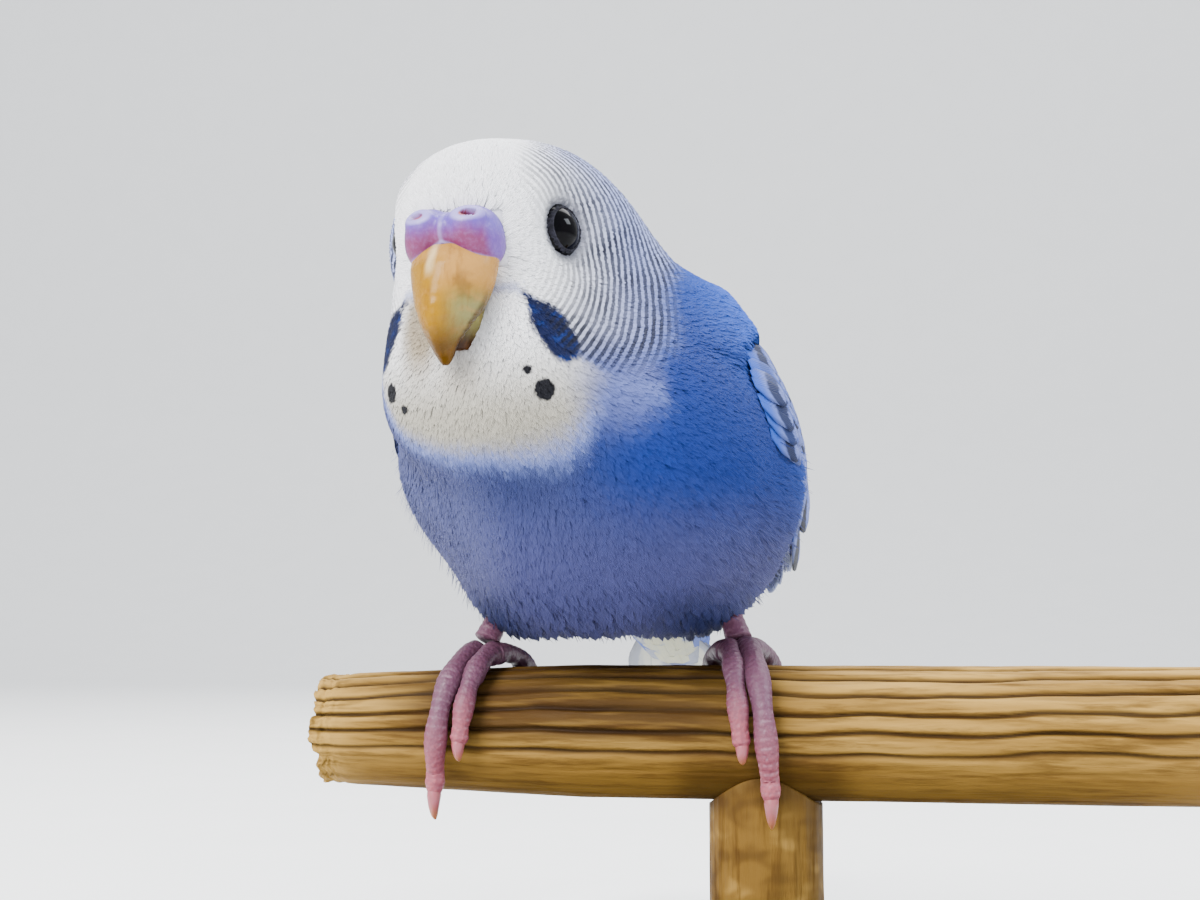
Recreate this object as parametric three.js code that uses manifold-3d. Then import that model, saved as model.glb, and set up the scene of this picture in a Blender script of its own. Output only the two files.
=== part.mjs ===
// A life-size budgerigar gripping a cut length of perch on a plain display stand.
// Millimetres, +Z up. The bird faces -Y and its left side is +X. The origin is the
// middle of the base's underside, on the axis of the post.

import * as THREE from 'three';
import { mergeVertices } from 'three/addons/utils/BufferGeometryUtils.js';
import Module from 'manifold-3d';

const wasm = await Module();
wasm.setup();

// Gap between nodes, and the shortest edge and lowest face kept in a solid
const GAP = 0.3;
const SHORTEST_EDGE = 0.06;
const FLATTEST_FACE = 0.004;

// Stand and perch sizes
const BASE_RADIUS = 50;
const BASE_HEIGHT = 8;
const BASE_EDGE = 1.5;
const ROD_RADIUS = 3;
const ROD_LENGTH = 8;
const POST_RADIUS = 6;
const PERCH_RADIUS = 7.1;
const PERCH_END_RADIUS = 6.0;
const PERCH_LENGTH = 98;
const PERCH_TOP = 43.1;
const TAPER_START = -2;
const TAPER_LENGTH = 28;
const RIDGES = 9;
const RIDGE_DEPTH = 0.45;

// Bird sizes, in the bird's own frame: its origin is the perch's top below the bird's middle
const BIRD_X = -17.4;
const HEAD_CENTRE = [-6.4, -18.5, 41.0];
const HEAD_YAW = -12;
const EYE_CENTRE = [5.75, -4.5, 0.8];
const EYE_RADIUS = 3.3;
const EYE_AZIMUTH = 76;
const LID_OFFSET = 2.0;
const LID_THICKNESS = 0.5;
const BILL_LENGTH = 10.6;
const CERE_LOBE = { centre: [2.15, -12.2, -1.2], radii: [2.6, 2.6, 2.9] };
const NOSTRIL = { centre: [2.0, -14.2, 0.65], radius: 0.75, rim: 0.26, pitch: 68, yaw: 14 };
const NOSTRIL_HOLE = { centre: [2.0, -14.5, 0.75], radii: [0.52, 0.8, 0.52] };
const TAIL_ROOT = [0, 49, 7.2];
const TAIL_SLOPE = 17.5;
const TAIL_LENGTHS = [88, 76, 65, 55, 46, 38];
const VANE_THICKNESS = 0.5;
const LAYER = VANE_THICKNESS + GAP;
const FOOT_SPOTS = { left: 14.7, right: -12.9 };

const rad = THREE.MathUtils.degToRad;
const clamp = THREE.MathUtils.clamp;
const lerp = THREE.MathUtils.lerp;

// Smooth joining of two surfaces that are given as distances, below zero inside
function blend(a, b, reach) {
  const h = clamp(0.5 + 0.5 * (b - a) / reach, 0, 1);
  return lerp(b, a, h) - reach * h * (1 - h);
}

function carve(a, b, reach) {
  return -blend(-a, b, reach);
}

// A blob is an ellipsoid whose long axis is pitched about X
function blob(centre, radii, pitch = 0) {
  return { centre, radii, cos: Math.cos(rad(-pitch)), sin: Math.sin(rad(-pitch)) };
}

function blobDistance(shape, x, y, z) {
  const px = x - shape.centre[0];
  const qy = y - shape.centre[1];
  const qz = z - shape.centre[2];
  const py = shape.cos * qy - shape.sin * qz;
  const pz = shape.sin * qy + shape.cos * qz;
  const [rx, ry, rz] = shape.radii;
  const near = Math.hypot(px / rx, py / ry, pz / rz);
  const steep = Math.hypot(px / (rx * rx), py / (ry * ry), pz / (rz * rz));
  return near * (near - 1) / Math.max(steep, 1e-9);
}

// Feathered outline of the torso: breast, back, rump and the two thighs
const BREAST = blob([0, -5, 20.8], [20.4, 22, 17.8], -20);
const BACK = blob([0, 12, 22], [17.5, 25, 16.5], -24);
const RUMP = blob([0, 33, 13.6], [8.5, 21, 6.6], -22);
const THIGH = blob([9.5, 2, 9], [6, 8, 6], -10);

function torsoDistance(x, y, z) {
  let d = blobDistance(BREAST, x, y, z);
  d = blend(d, blobDistance(BACK, x, y, z), 6);
  d = blend(d, blobDistance(RUMP, x, y, z), 8);
  return blend(d, blobDistance(THIGH, Math.abs(x), y, z), 5);
}

// Feathered outline of the head, in the head's own frame: face towards -Y
const SKULL = blob([-0.9, 3, 2.0], [12.1, 12, 10.4]);
const FOREHEAD = blob([0, -6, 1.6], [8.6, 7.2, 8]);
const CHEEK = blob([4.6, -2, -7.5], [6, 8.5, 7.5]);
const MASK = blob([0, -3.5, -15], [11.1, 9, 8.4]);
const NAPE = blob([2.4, 9.5, -4.5], [11.6, 9.5, 10.5]);
const HOLLOW_RADIUS = 7;
const HOLLOW_OFFSET = 8.7;
const eyeAxis = [Math.sin(rad(EYE_AZIMUTH)), -Math.cos(rad(EYE_AZIMUTH)), 0.06];
const hollow = EYE_CENTRE.map((value, i) => value + HOLLOW_OFFSET * eyeAxis[i]);

function headDistance(x, y, z) {
  const side = Math.abs(x);
  let d = blobDistance(SKULL, x, y, z);
  d = blend(d, blobDistance(FOREHEAD, x, y, z), 4);
  d = blend(d, blobDistance(CHEEK, side, y, z), 4);
  d = blend(d, blobDistance(MASK, x, y, z), 5);
  d = blend(d, blobDistance(NAPE, x, y, z), 6);
  const eyeHollow = Math.hypot(side - hollow[0], y - hollow[1], z - hollow[2]) - HOLLOW_RADIUS;
  return carve(d, eyeHollow, 1.5);
}

const NECK = blob([-2.5, -6, 33.5], [14, 13, 11.5]);
const yawCos = Math.cos(rad(-HEAD_YAW));
const yawSin = Math.sin(rad(-HEAD_YAW));

function bodyDistance(x, y, z) {
  const hx = x - HEAD_CENTRE[0];
  const hy = y - HEAD_CENTRE[1];
  const hz = z - HEAD_CENTRE[2];
  const head = headDistance(yawCos * hx - yawSin * hy, yawSin * hx + yawCos * hy, hz);
  const trunk = blend(torsoDistance(x, y, z), blobDistance(NECK, x, y, z), 6);
  return blend(trunk, head, 3.5);
}

// Walks out from a point inside until the surface at the given level is reached
function reachOut(origin, direction, level, distance = bodyDistance) {
  const value = (r) => distance(
    origin.x + r * direction.x,
    origin.y + r * direction.y,
    origin.z + r * direction.z,
  ) - level;
  let far = 0;
  while (value(far) < 0 && far < 80) far += 0.4;
  let near = Math.max(far - 0.4, 0);
  for (let i = 0; i < 12; i += 1) {
    const middle = (near + far) / 2;
    if (value(middle) < 0) near = middle;
    else far = middle;
  }
  return near;
}

// Geometry helpers

function surface(points, faces) {
  const geometry = new THREE.BufferGeometry();
  const flat = points.flatMap((p) => [p.x, p.y, p.z]);
  geometry.setAttribute('position', new THREE.Float32BufferAttribute(flat, 3));
  geometry.setIndex(faces);
  return geometry;
}

// Bands of faces between rings of equal length; a thin body's underside is split like its top
function bandFaces(rings, thin) {
  const count = rings[0].length;
  const faces = [];
  for (let i = 0; i + 1 < rings.length; i += 1) {
    for (let j = 0; j < count; j += 1) {
      const a = i * count + j;
      const b = i * count + (j + 1) % count;
      const c = a + count;
      const d = b + count;
      const underside = thin && j >= count / 2 && j < count - 1;
      if (underside) faces.push(a, b, c, b, d, c);
      else faces.push(a, b, d, a, d, c);
    }
  }
  return faces;
}

// Closed body through rings, ended by a fan round one point at each end
function loft(rings, startPoint, endPoint) {
  const count = rings[0].length;
  const points = rings.flat();
  const faces = bandFaces(rings, false);
  const first = points.push(startPoint) - 1;
  const last = points.push(endPoint) - 1;
  const tail = (rings.length - 1) * count;
  for (let j = 0; j < count; j += 1) {
    const next = (j + 1) % count;
    faces.push(first, next, j);
    faces.push(last, tail + j, tail + next);
  }
  return surface(points, faces);
}

function middleOf(ring) {
  const sum = ring.reduce((total, p) => total.add(p), new THREE.Vector3());
  return sum.divideScalar(ring.length);
}

function loftFlat(rings) {
  return loft(rings, middleOf(rings[0]), middleOf(rings[rings.length - 1]));
}

// Thin curved body: each ring runs along its top and back along its underside
function loftThin(rings) {
  const count = rings[0].length;
  const faces = bandFaces(rings, true);
  const tail = (rings.length - 1) * count;
  for (let j = 0; j + 1 < count / 2; j += 1) {
    const under = count - 1 - j;
    faces.push(j, under, j + 1);
    faces.push(j + 1, under, under - 1);
    faces.push(tail + j, tail + j + 1, tail + under);
    faces.push(tail + j + 1, tail + under - 1, tail + under);
  }
  return surface(rings.flat(), faces);
}

function signedVolume(index, position) {
  const a = new THREE.Vector3();
  const b = new THREE.Vector3();
  const c = new THREE.Vector3();
  let volume = 0;
  for (let i = 0; i < index.length; i += 3) {
    a.fromArray(position, 3 * index[i]);
    b.fromArray(position, 3 * index[i + 1]);
    c.fromArray(position, 3 * index[i + 2]);
    volume += a.dot(b.cross(c)) / 6;
  }
  return volume;
}

// Manifold solid of a closed geometry, turned outward if its faces point in
function toSolid(geometry) {
  const bare = geometry.clone();
  bare.deleteAttribute('normal');
  bare.deleteAttribute('uv');
  const merged = mergeVertices(bare, 1e-4);
  const vertProperties = Float32Array.from(merged.attributes.position.array);
  const triVerts = Uint32Array.from(merged.index.array);
  if (signedVolume(triVerts, vertProperties) < 0) {
    for (let i = 0; i < triVerts.length; i += 3) {
      [triVerts[i], triVerts[i + 1]] = [triVerts[i + 1], triVerts[i]];
    }
  }
  return new wasm.Manifold(new wasm.Mesh({ numProp: 3, vertProperties, triVerts }));
}

// Keeps only the largest closed surface
function largest(solid) {
  const pieces = solid.decompose();
  return pieces.reduce((best, piece) => (piece.volume() > best.volume() ? piece : best));
}

function fuse(geometries) {
  return geometries.map(toSolid).reduce((total, solid) => total.add(solid));
}

// Closes up edges shorter than the limit, where the surface stays one closed body
function closeShortEdges(points, faces, limit) {
  const corners = new Map();
  faces.forEach((face, i) => face.forEach((v) => {
    if (!corners.has(v)) corners.set(v, new Set());
    corners.get(v).add(i);
  }));
  const around = (v) => {
    const found = new Set();
    for (const i of corners.get(v)) faces[i].forEach((w) => found.add(w));
    found.delete(v);
    return found;
  };
  const close = (a, b) => {
    const near = around(b);
    const shared = [...around(a)].filter((v) => near.has(v));
    if (shared.length !== 2) return false;
    points[a].lerp(points[b], 0.5);
    for (const i of [...corners.get(b)]) {
      if (faces[i].includes(a)) {
        faces[i].forEach((v) => corners.get(v).delete(i));
        faces[i] = null;
      } else {
        faces[i] = faces[i].map((v) => (v === b ? a : v));
        corners.get(a).add(i);
      }
    }
    return true;
  };
  for (let i = 0; i < faces.length; i += 1) {
    for (let j = 0; j < 3 && faces[i]; j += 1) {
      const a = faces[i][j];
      const b = faces[i][(j + 1) % 3];
      if (points[a].distanceTo(points[b]) < limit && close(a, b)) j = 3;
    }
  }
  return faces.filter(Boolean);
}

// Turns the long edge of each needle-flat face over to the face beside it
function turnFlatFaces(points, faces, limit) {
  const owners = new Map();
  const key = (a, b) => `${a},${b}`;
  const claim = (i) => faces[i].forEach((v, j) => owners.set(key(v, faces[i][(j + 1) % 3]), i));
  const release = (i) => faces[i].forEach((v, j) => owners.delete(key(v, faces[i][(j + 1) % 3])));
  faces.forEach((face, i) => claim(i));
  faces.forEach((face, i) => {
    const [p, q, r] = face.map((v) => points[v]);
    const area = new THREE.Triangle(p, q, r).getArea();
    const lengths = [p.distanceTo(q), q.distanceTo(r), r.distanceTo(p)];
    const longest = lengths.indexOf(Math.max(...lengths));
    if (2 * area / lengths[longest] >= limit) return;
    const a = face[longest];
    const b = face[(longest + 1) % 3];
    const c = face[(longest + 2) % 3];
    const other = owners.get(key(b, a));
    const d = faces[other].find((v) => v !== a && v !== b);
    if (owners.has(key(c, d)) || owners.has(key(d, c))) return;
    release(i);
    release(other);
    faces[i] = [a, d, c];
    faces[other] = [d, b, c];
    claim(i);
    claim(other);
  });
  return faces;
}

function geometryOf(solid) {
  const mesh = largest(solid).getMesh();
  const points = [];
  for (let i = 0; i < mesh.vertProperties.length; i += 3) {
    points.push(new THREE.Vector3().fromArray(mesh.vertProperties, i));
  }
  let faces = [];
  for (let i = 0; i < mesh.triVerts.length; i += 3) faces.push([...mesh.triVerts.slice(i, i + 3)]);
  for (let pass = 0; pass < 4; pass += 1) {
    faces = closeShortEdges(points, faces, SHORTEST_EDGE);
    faces = turnFlatFaces(points, faces, FLATTEST_FACE);
  }
  return surface(points, faces.flat());
}

function finish(color, roughness, metalness = 0) {
  return new THREE.MeshStandardMaterial({ color, roughness, metalness });
}

function addNode(parent, name, solid, material) {
  const mesh = new THREE.Mesh(geometryOf(solid), material);
  mesh.name = name;
  parent.add(mesh);
}

// Tube of round rings along a curve, with a radius for each ring
function taperTube(curve, radii, sides, squash = 1) {
  const rings = [];
  const steps = radii.length - 1;
  for (let i = 0; i <= steps; i += 1) {
    const t = i / steps;
    const centre = curve.getPointAt(t);
    const along = curve.getTangentAt(t);
    const across = new THREE.Vector3(1, 0, 0);
    if (Math.abs(along.x) > 0.8) across.set(0, 1, 0);
    across.addScaledVector(along, -across.dot(along)).normalize();
    const up = new THREE.Vector3().crossVectors(along, across);
    const ring = [];
    for (let j = 0; j < sides; j += 1) {
      const angle = 2 * Math.PI * j / sides;
      const point = centre.clone();
      point.addScaledVector(across, radii[i] * Math.cos(angle));
      point.addScaledVector(up, radii[i] * squash * Math.sin(angle));
      ring.push(point);
    }
    rings.push(ring);
  }
  return loftFlat(rings);
}

function curveThrough(points) {
  return new THREE.CatmullRomCurve3(points.map((p) => new THREE.Vector3(...p)));
}

function ball(centre, radii, sides = 20) {
  const geometry = new THREE.SphereGeometry(1, sides, Math.round(sides * 0.6));
  geometry.scale(...radii);
  geometry.translate(...centre);
  return geometry;
}

// Body skin: rings square to a bent axis that runs from the tail's root to the crown
const BODY_SIDES = 28;
const BODY_RINGS = 40;
const TORSO_END = 0.68;
const NECK_END = 0.79;
const NECK_BEND = { y: 11.5, z: 46.4, radius: 24.5, start: 20 };

// Axis of the body: straight through the trunk, then an arc up through the neck to the crown
function spinePoints() {
  const points = [TAIL_ROOT, [0, 34, 12.4], [0, 18, 18.2]];
  for (let i = 0; i <= 4; i += 1) {
    const angle = rad(lerp(NECK_BEND.start, 90, i / 4));
    const lean = (HEAD_CENTRE[0] + 0.2) * THREE.MathUtils.smoothstep(i, 0, 4);
    points.push([
      lean,
      NECK_BEND.y - NECK_BEND.radius * Math.sin(angle),
      NECK_BEND.z - NECK_BEND.radius * Math.cos(angle),
    ]);
  }
  points.push([HEAD_CENTRE[0], NECK_BEND.y - NECK_BEND.radius - 0.2, HEAD_CENTRE[2] + 11.6]);
  return points;
}

const spine = curveThrough(spinePoints());

function bodyRing(t, level, shift = 0) {
  const along = spine.getTangentAt(t);
  const centre = spine.getPointAt(t).addScaledVector(along, shift);
  const across = new THREE.Vector3(1, 0, 0).addScaledVector(along, -along.x).normalize();
  const up = new THREE.Vector3().crossVectors(across, along);
  const ring = [];
  for (let j = 0; j < BODY_SIDES; j += 1) {
    const angle = 2 * Math.PI * j / BODY_SIDES;
    const direction = across.clone().multiplyScalar(Math.cos(angle));
    direction.addScaledVector(up, Math.sin(angle));
    const radius = reachOut(centre, direction, level);
    ring.push(centre.clone().addScaledVector(direction, radius));
  }
  return { ring, centre };
}

// Length of body between two places on the axis, the start moved on by the gap
function bodyLength(start, end, level, startShift) {
  const inner = [];
  for (let i = 0; i <= BODY_RINGS; i += 1) {
    const t = i / BODY_RINGS;
    if (t > start + 0.008 && t < end - 0.008) inner.push(t);
  }
  const first = bodyRing(start, level, startShift);
  const rings = [first.ring, ...inner.map((t) => bodyRing(t, level).ring)];
  const last = bodyRing(Math.min(end, 0.995), level);
  rings.push(last.ring);
  if (end < 1) return loft(rings, first.centre, last.centre);
  const along = spine.getTangentAt(1);
  const top = reachOut(last.centre, along, level);
  return loft(rings, first.centre, last.centre.clone().addScaledVector(along, top));
}

const bodyAndGap = toSolid(bodyLength(0, 1, GAP, -GAP));

// Head parts, made in the head's frame and then set in place
const headFrame = new THREE.Matrix4()
  .makeRotationZ(rad(HEAD_YAW))
  .setPosition(...HEAD_CENTRE);

function inHead(geometry) {
  return geometry.applyMatrix4(headFrame);
}

function eyeBall(side, extra) {
  const centre = [side * EYE_CENTRE[0], EYE_CENTRE[1], EYE_CENTRE[2]];
  const radius = EYE_RADIUS + extra;
  return inHead(ball(centre, [radius, radius, radius], 16));
}

// Ring of eyelid raised on the head round the eye
function lid(side) {
  const ringRadius = Math.sqrt(EYE_RADIUS ** 2 - LID_OFFSET ** 2) + 0.55 * LID_THICKNESS;
  const geometry = new THREE.TorusGeometry(ringRadius, LID_THICKNESS, 6, 20);
  const axis = new THREE.Vector3(side * eyeAxis[0], eyeAxis[1], eyeAxis[2]).normalize();
  const turn = new THREE.Quaternion().setFromUnitVectors(new THREE.Vector3(0, 0, 1), axis);
  geometry.applyQuaternion(turn);
  const lift = LID_OFFSET - 0.1;
  geometry.translate(
    side * EYE_CENTRE[0] + lift * axis.x,
    EYE_CENTRE[1] + lift * axis.y,
    EYE_CENTRE[2] + lift * axis.z,
  );
  return inHead(geometry);
}

function mirrored([x, y, z], side) {
  return [side * x, y, z];
}

// Cere of two swollen lobes, each with a rimmed nostril near its top
function cereSolid(extra) {
  const radii = CERE_LOBE.radii.map((r) => r + extra);
  return fuse([-1, 1].map((side) => inHead(ball(mirrored(CERE_LOBE.centre, side), radii, 14))));
}

function cereWithNostrils() {
  let solid = cereSolid(0);
  for (const side of [-1, 1]) {
    const rim = new THREE.TorusGeometry(NOSTRIL.radius, NOSTRIL.rim, 5, 10);
    rim.rotateX(rad(NOSTRIL.pitch));
    rim.rotateZ(rad(side * NOSTRIL.yaw));
    rim.translate(...mirrored(NOSTRIL.centre, side));
    const hole = ball(mirrored(NOSTRIL_HOLE.centre, side), NOSTRIL_HOLE.radii, 8);
    solid = solid.add(toSolid(inHead(rim))).subtract(toSolid(inHead(hole)));
  }
  return solid;
}

// Bill: flattened rounds along a hooked line, wide at the root and pointed at the tip
function billRounds(points, extra) {
  const rings = points.map(({ y, z, wide, deep, lean }) => {
    const ring = [];
    for (let j = 0; j < 14; j += 1) {
      const angle = 2 * Math.PI * j / 14;
      const out = (deep + extra) * Math.sin(angle);
      ring.push(new THREE.Vector3(
        (wide + extra) * Math.cos(angle),
        y - out * Math.cos(rad(lean)),
        z + out * Math.sin(rad(lean)),
      ));
    }
    return ring;
  });
  return inHead(loftFlat(rings));
}

function upperBill(extra) {
  const points = [];
  for (let i = 0; i <= 9; i += 1) {
    const t = i / 9;
    const forward = 11.0 + 3.0 * Math.sin(Math.PI * (0.08 + 0.62 * t)) - 1.2 * t * t;
    points.push({
      y: -forward,
      z: -1.9 - BILL_LENGTH * t - 0.2 * t * t,
      wide: 0.35 + 3.7 * Math.sqrt(1 - t ** 1.7),
      deep: 0.3 + 2.9 * Math.sqrt(1 - t ** 1.5),
      lean: lerp(25, -10, t),
    });
  }
  return billRounds(points, extra);
}

function lowerBill() {
  const points = [];
  for (let i = 0; i <= 5; i += 1) {
    const t = i / 5;
    points.push({
      y: -11.4 - 0.6 * t,
      z: -6.5 - 5.0 * t,
      wide: 3.1 - 1.2 * t * t,
      deep: 2.4 - 1.3 * t * t,
      lean: lerp(10, 0, t),
    });
  }
  return billRounds(points, 0);
}

// Vanes: thin blades along a path, given by a function that sets a point on the surface
// place(t, e, lift) gives a point at t along the vane, e half-widths across, lift out
function vane(place, stations) {
  const half = VANE_THICKNESS / 2;
  const rings = stations.map((t) => [
    place(t, -1, half),
    place(t, 1, half),
    place(t, 1, -half),
    place(t, -1, -half),
  ]);
  return loftThin(rings);
}

// Share of the full half-width at t along a vane with a rounded tip
function roundTip(t, point) {
  const root = Math.min(1, 0.55 + 1.5 * t);
  const tip = t < 0.7 ? 1 : Math.sqrt(Math.max(0, 1 - ((t - 0.7) / 0.3) ** 2));
  return root * lerp(point, 1, tip);
}

const LONG_STATIONS = [0, 0.3, 0.65, 0.88, 1];
const SHORT_STATIONS = [0, 0.5, 0.85, 1];

// Folded wing surface: distance out from the bird's axis, by place along it and angle from the top
const WING_FRONT = -7;
const WING_APART = 0.25;
const axisHeight = (y) => 24 - 0.322 * (y - 5);

function rearHull(y, angle) {
  const reach = clamp((y - 12) / 70, 0, 1);
  const front = 2.5 * (1 - clamp((y - WING_FRONT) / 22, 0, 1));
  const wide = 20 * (1 - 0.92 * reach ** 1.7) - front;
  const tall = 18 * (1 - 0.8 * reach ** 1.3) - front;
  return 1 / Math.hypot(Math.sin(angle) / wide, Math.cos(angle) / tall);
}

function torsoReach(y, angle, level) {
  const origin = new THREE.Vector3(0, y, axisHeight(y));
  if (bodyDistance(origin.x, origin.y, origin.z) > level) return 0;
  return reachOut(origin, new THREE.Vector3(Math.sin(angle), 0, Math.cos(angle)), level);
}

function wingReach(y, angle) {
  const cover = 0.9 * clamp((y - WING_FRONT) / 16, 0, 1);
  const skin = torsoReach(y, angle, 0) + 1.0 + cover;
  return -blend(-skin, -rearHull(y, angle), 2);
}

function wingPoint(side, y, degrees, lift) {
  const angle = rad(degrees);
  const radius = wingReach(y, angle) + lift;
  return new THREE.Vector3(
    side * Math.max(radius * Math.sin(angle), WING_APART),
    y,
    axisHeight(y) + radius * Math.cos(angle),
  );
}

// Vane on the wing, from a root to a tip given as [place along the bird, degrees from the top]
function wingVane(side, root, tip, { width, lifts, tilt, stations, point }) {
  const place = (t, e, lift) => {
    const y = lerp(root[0], tip[0], t);
    const degrees = lerp(root[1], tip[1], t);
    const half = width / 2 * roundTip(t, point);
    const radius = Math.max(wingReach(y, rad(degrees)), 4);
    const turn = THREE.MathUtils.radToDeg(e * half / radius);
    const rise = lerp(lifts[0], lifts[1], t) + tilt * e * half;
    return wingPoint(side, y, degrees + turn, rise + lift);
  };
  return vane(place, stations);
}

// Rows of wing vanes, each listed from the vane nearest the back to the one at the flank
const WING_ROWS = [
  // Primaries
  {
    rootPlaces: [33, 33],
    rootDegrees: [76, 92],
    tipPlaces: [57, 64, 70, 75, 78, 74],
    tipDegrees: [22, 50],
    width: 5.4,
    lifts: [-1.9, -1.0],
    tilt: 0.42,
    stations: LONG_STATIONS,
    point: 0.3,
  },
  // Secondaries
  {
    rootPlaces: [17, 20],
    rootDegrees: [36, 90],
    tipPlaces: [60, 57.8, 55.6, 53.4, 51.2, 49],
    tipDegrees: [16, 84],
    width: 7.6,
    lifts: [-1.3, 0.2],
    tilt: 0.24,
    stations: LONG_STATIONS,
    point: 0.35,
  },
  // Greater coverts
  {
    rootPlaces: [10, 13],
    rootDegrees: [42, 96],
    tipPlaces: [31, 30.2, 29.4, 28.6, 27.8, 27],
    tipDegrees: [32, 99],
    width: 8.0,
    lifts: [-1.2, 0.8],
    tilt: 0.20,
    stations: SHORT_STATIONS,
    point: 0.4,
  },
  // Median coverts
  {
    rootPlaces: [2, 5],
    rootDegrees: [54, 94],
    tipPlaces: [18, 17.4, 16.8, 16.2, 15.6, 15],
    tipDegrees: [44, 99],
    width: 8.2,
    lifts: [-1.1, 0.7],
    tilt: 0.18,
    stations: SHORT_STATIONS,
    point: 0.45,
  },
];

// Core of the wing: a thin shell between the body and the wing's surface
const CORE_END = 40;
const coreTop = (y) => lerp(58, 22, clamp((y - WING_FRONT) / 46, 0, 1) ** 0.7);
const coreBottom = (y) => lerp(92, 108, clamp((y - WING_FRONT) / 22, 0, 1)) - 0.35 * Math.max(y - 20, 0);

function wingCore(side) {
  const rows = 9;
  const columns = 6;
  const rings = [];
  for (let i = 0; i <= rows; i += 1) {
    const t = i / rows;
    const y = lerp(WING_FRONT, CORE_END, t);
    const endNarrow = Math.sqrt(clamp(t / 0.3, 0.08, 1));
    const middle = (coreTop(y) + coreBottom(y)) / 2;
    const span = (coreBottom(y) - coreTop(y)) / 2 * endNarrow;
    const ring = [];
    for (let j = 0; j <= columns; j += 1) {
      const degrees = middle + span * (2 * j / columns - 1);
      ring.push(wingPoint(side, y, degrees, -0.5));
    }
    for (let j = columns; j >= 0; j -= 1) {
      const degrees = middle + span * (2 * j / columns - 1);
      ring.push(wingPoint(side, y, degrees, -1.9 - 1.6 * (1 - t)));
    }
    rings.push(ring);
  }
  return loftThin(rings);
}

function wingVanes(side) {
  return WING_ROWS.flatMap((row) => row.tipPlaces.map((tipPlace, i) => {
    const share = i / (row.tipPlaces.length - 1);
    const root = [lerp(...row.rootPlaces, share), lerp(...row.rootDegrees, share)];
    const tip = [tipPlace, lerp(...row.tipDegrees, share)];
    return wingVane(side, root, tip, row);
  }));
}

function wingSolid(side) {
  return fuse([wingCore(side), ...wingVanes(side)]);
}

// Tail: graduated vanes in pairs, the middle pair longest and on top
const slope = rad(TAIL_SLOPE);

function tailPoint(x, along, lift) {
  return new THREE.Vector3(
    x,
    TAIL_ROOT[1] + along * Math.cos(slope) + lift * Math.sin(slope),
    TAIL_ROOT[2] - along * Math.sin(slope) + lift * Math.cos(slope),
  );
}

// Core of the tail, as places along it with its half-width and half-height
const TAIL_CORE = [[0, 6.2, 4.4], [6, 5.8, 3.8], [14, 5.0, 3.1], [22, 4.2, 2.4], [29, 3.2, 1.6]];
const TAIL_VANE_ROOT = 5;
const TAIL_TOP = 1.9;
const TAIL_DROOP = 0.12;
const MIDDLE_VANES = { half: 2.9, point: 0.1, middle: 1.4, step: 0 };
const OUTER_VANES = { half: 3.3, point: 0.25, middle: 1.9, step: 0.45 };

function tailCore() {
  const rings = TAIL_CORE.map(([along, wide, tall]) => {
    const ring = [];
    for (let j = 0; j < 14; j += 1) {
      const angle = 2 * Math.PI * j / 14;
      ring.push(tailPoint(wide * Math.cos(angle), along, tall * Math.sin(angle) - 0.3));
    }
    return ring;
  });
  return loftFlat(rings);
}

function tailVanes() {
  const vanes = [];
  TAIL_LENGTHS.forEach((length, i) => {
    const pair = i === 0 ? MIDDLE_VANES : OUTER_VANES;
    for (const side of [-1, 1]) {
      const lower = i === 0 && side < 0 ? LAYER / 2 : 0;
      const lift = TAIL_TOP - LAYER * i - lower;
      const place = (t, e, out) => {
        const half = pair.half * roundTip(t, pair.point);
        const across = (pair.middle + pair.step * i) * Math.min(1, 0.5 + t) + e * half;
        const along = lerp(TAIL_VANE_ROOT, length, t);
        return tailPoint(side * across, along, lift - TAIL_DROOP * across + out);
      };
      vanes.push(vane(place, LONG_STATIONS));
    }
  });
  return vanes;
}

function tailSolid() {
  return fuse([tailCore(), ...tailVanes()]);
}

// Perch: a bar along X with rounded lengthwise ridges on its upper side
const PERCH_AXIS = -PERCH_RADIUS;
const perchRadius = (x) => {
  const taper = clamp((TAPER_START - x) / TAPER_LENGTH, 0, 1);
  return lerp(PERCH_RADIUS, PERCH_END_RADIUS, taper);
};

function perchBar(extra, ridged) {
  const sides = ridged ? 54 : 30;
  const start = -BIRD_X - PERCH_LENGTH / 2;
  const stops = [0, 0.012, 0.1, 0.2, 0.3, 0.985, 1];
  const rings = stops.map((t) => {
    const x = start + PERCH_LENGTH * t;
    const end = Math.min(t, 1 - t);
    const round = end < 0.01 ? 0.93 : 1;
    const depth = ridged ? RIDGE_DEPTH * clamp((t - 0.1) / 0.2, 0, 1) : 0;
    const ring = [];
    for (let j = 0; j < sides; j += 1) {
      const angle = 2 * Math.PI * j / sides;
      const upper = clamp(0.5 + 2 * Math.sin(angle) + 0.4, 0, 1);
      const groove = Math.abs(Math.sin(RIDGES * angle + 0.4)) ** 0.6;
      const radius = perchRadius(x) * round + extra - depth * upper * (1 - groove);
      ring.push(new THREE.Vector3(x, radius * Math.cos(angle), PERCH_AXIS + radius * Math.sin(angle)));
    }
    return ring;
  });
  return loftFlat(rings);
}

function perchPost() {
  const bottom = -PERCH_TOP + BASE_HEIGHT + ROD_LENGTH + 2 * GAP;
  const height = PERCH_AXIS - bottom;
  const geometry = new THREE.CylinderGeometry(POST_RADIUS, POST_RADIUS, height, 32);
  geometry.rotateX(Math.PI / 2);
  geometry.translate(-BIRD_X, 0, bottom + height / 2);
  return toSolid(geometry).subtract(toSolid(perchBar(GAP, false)));
}

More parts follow.
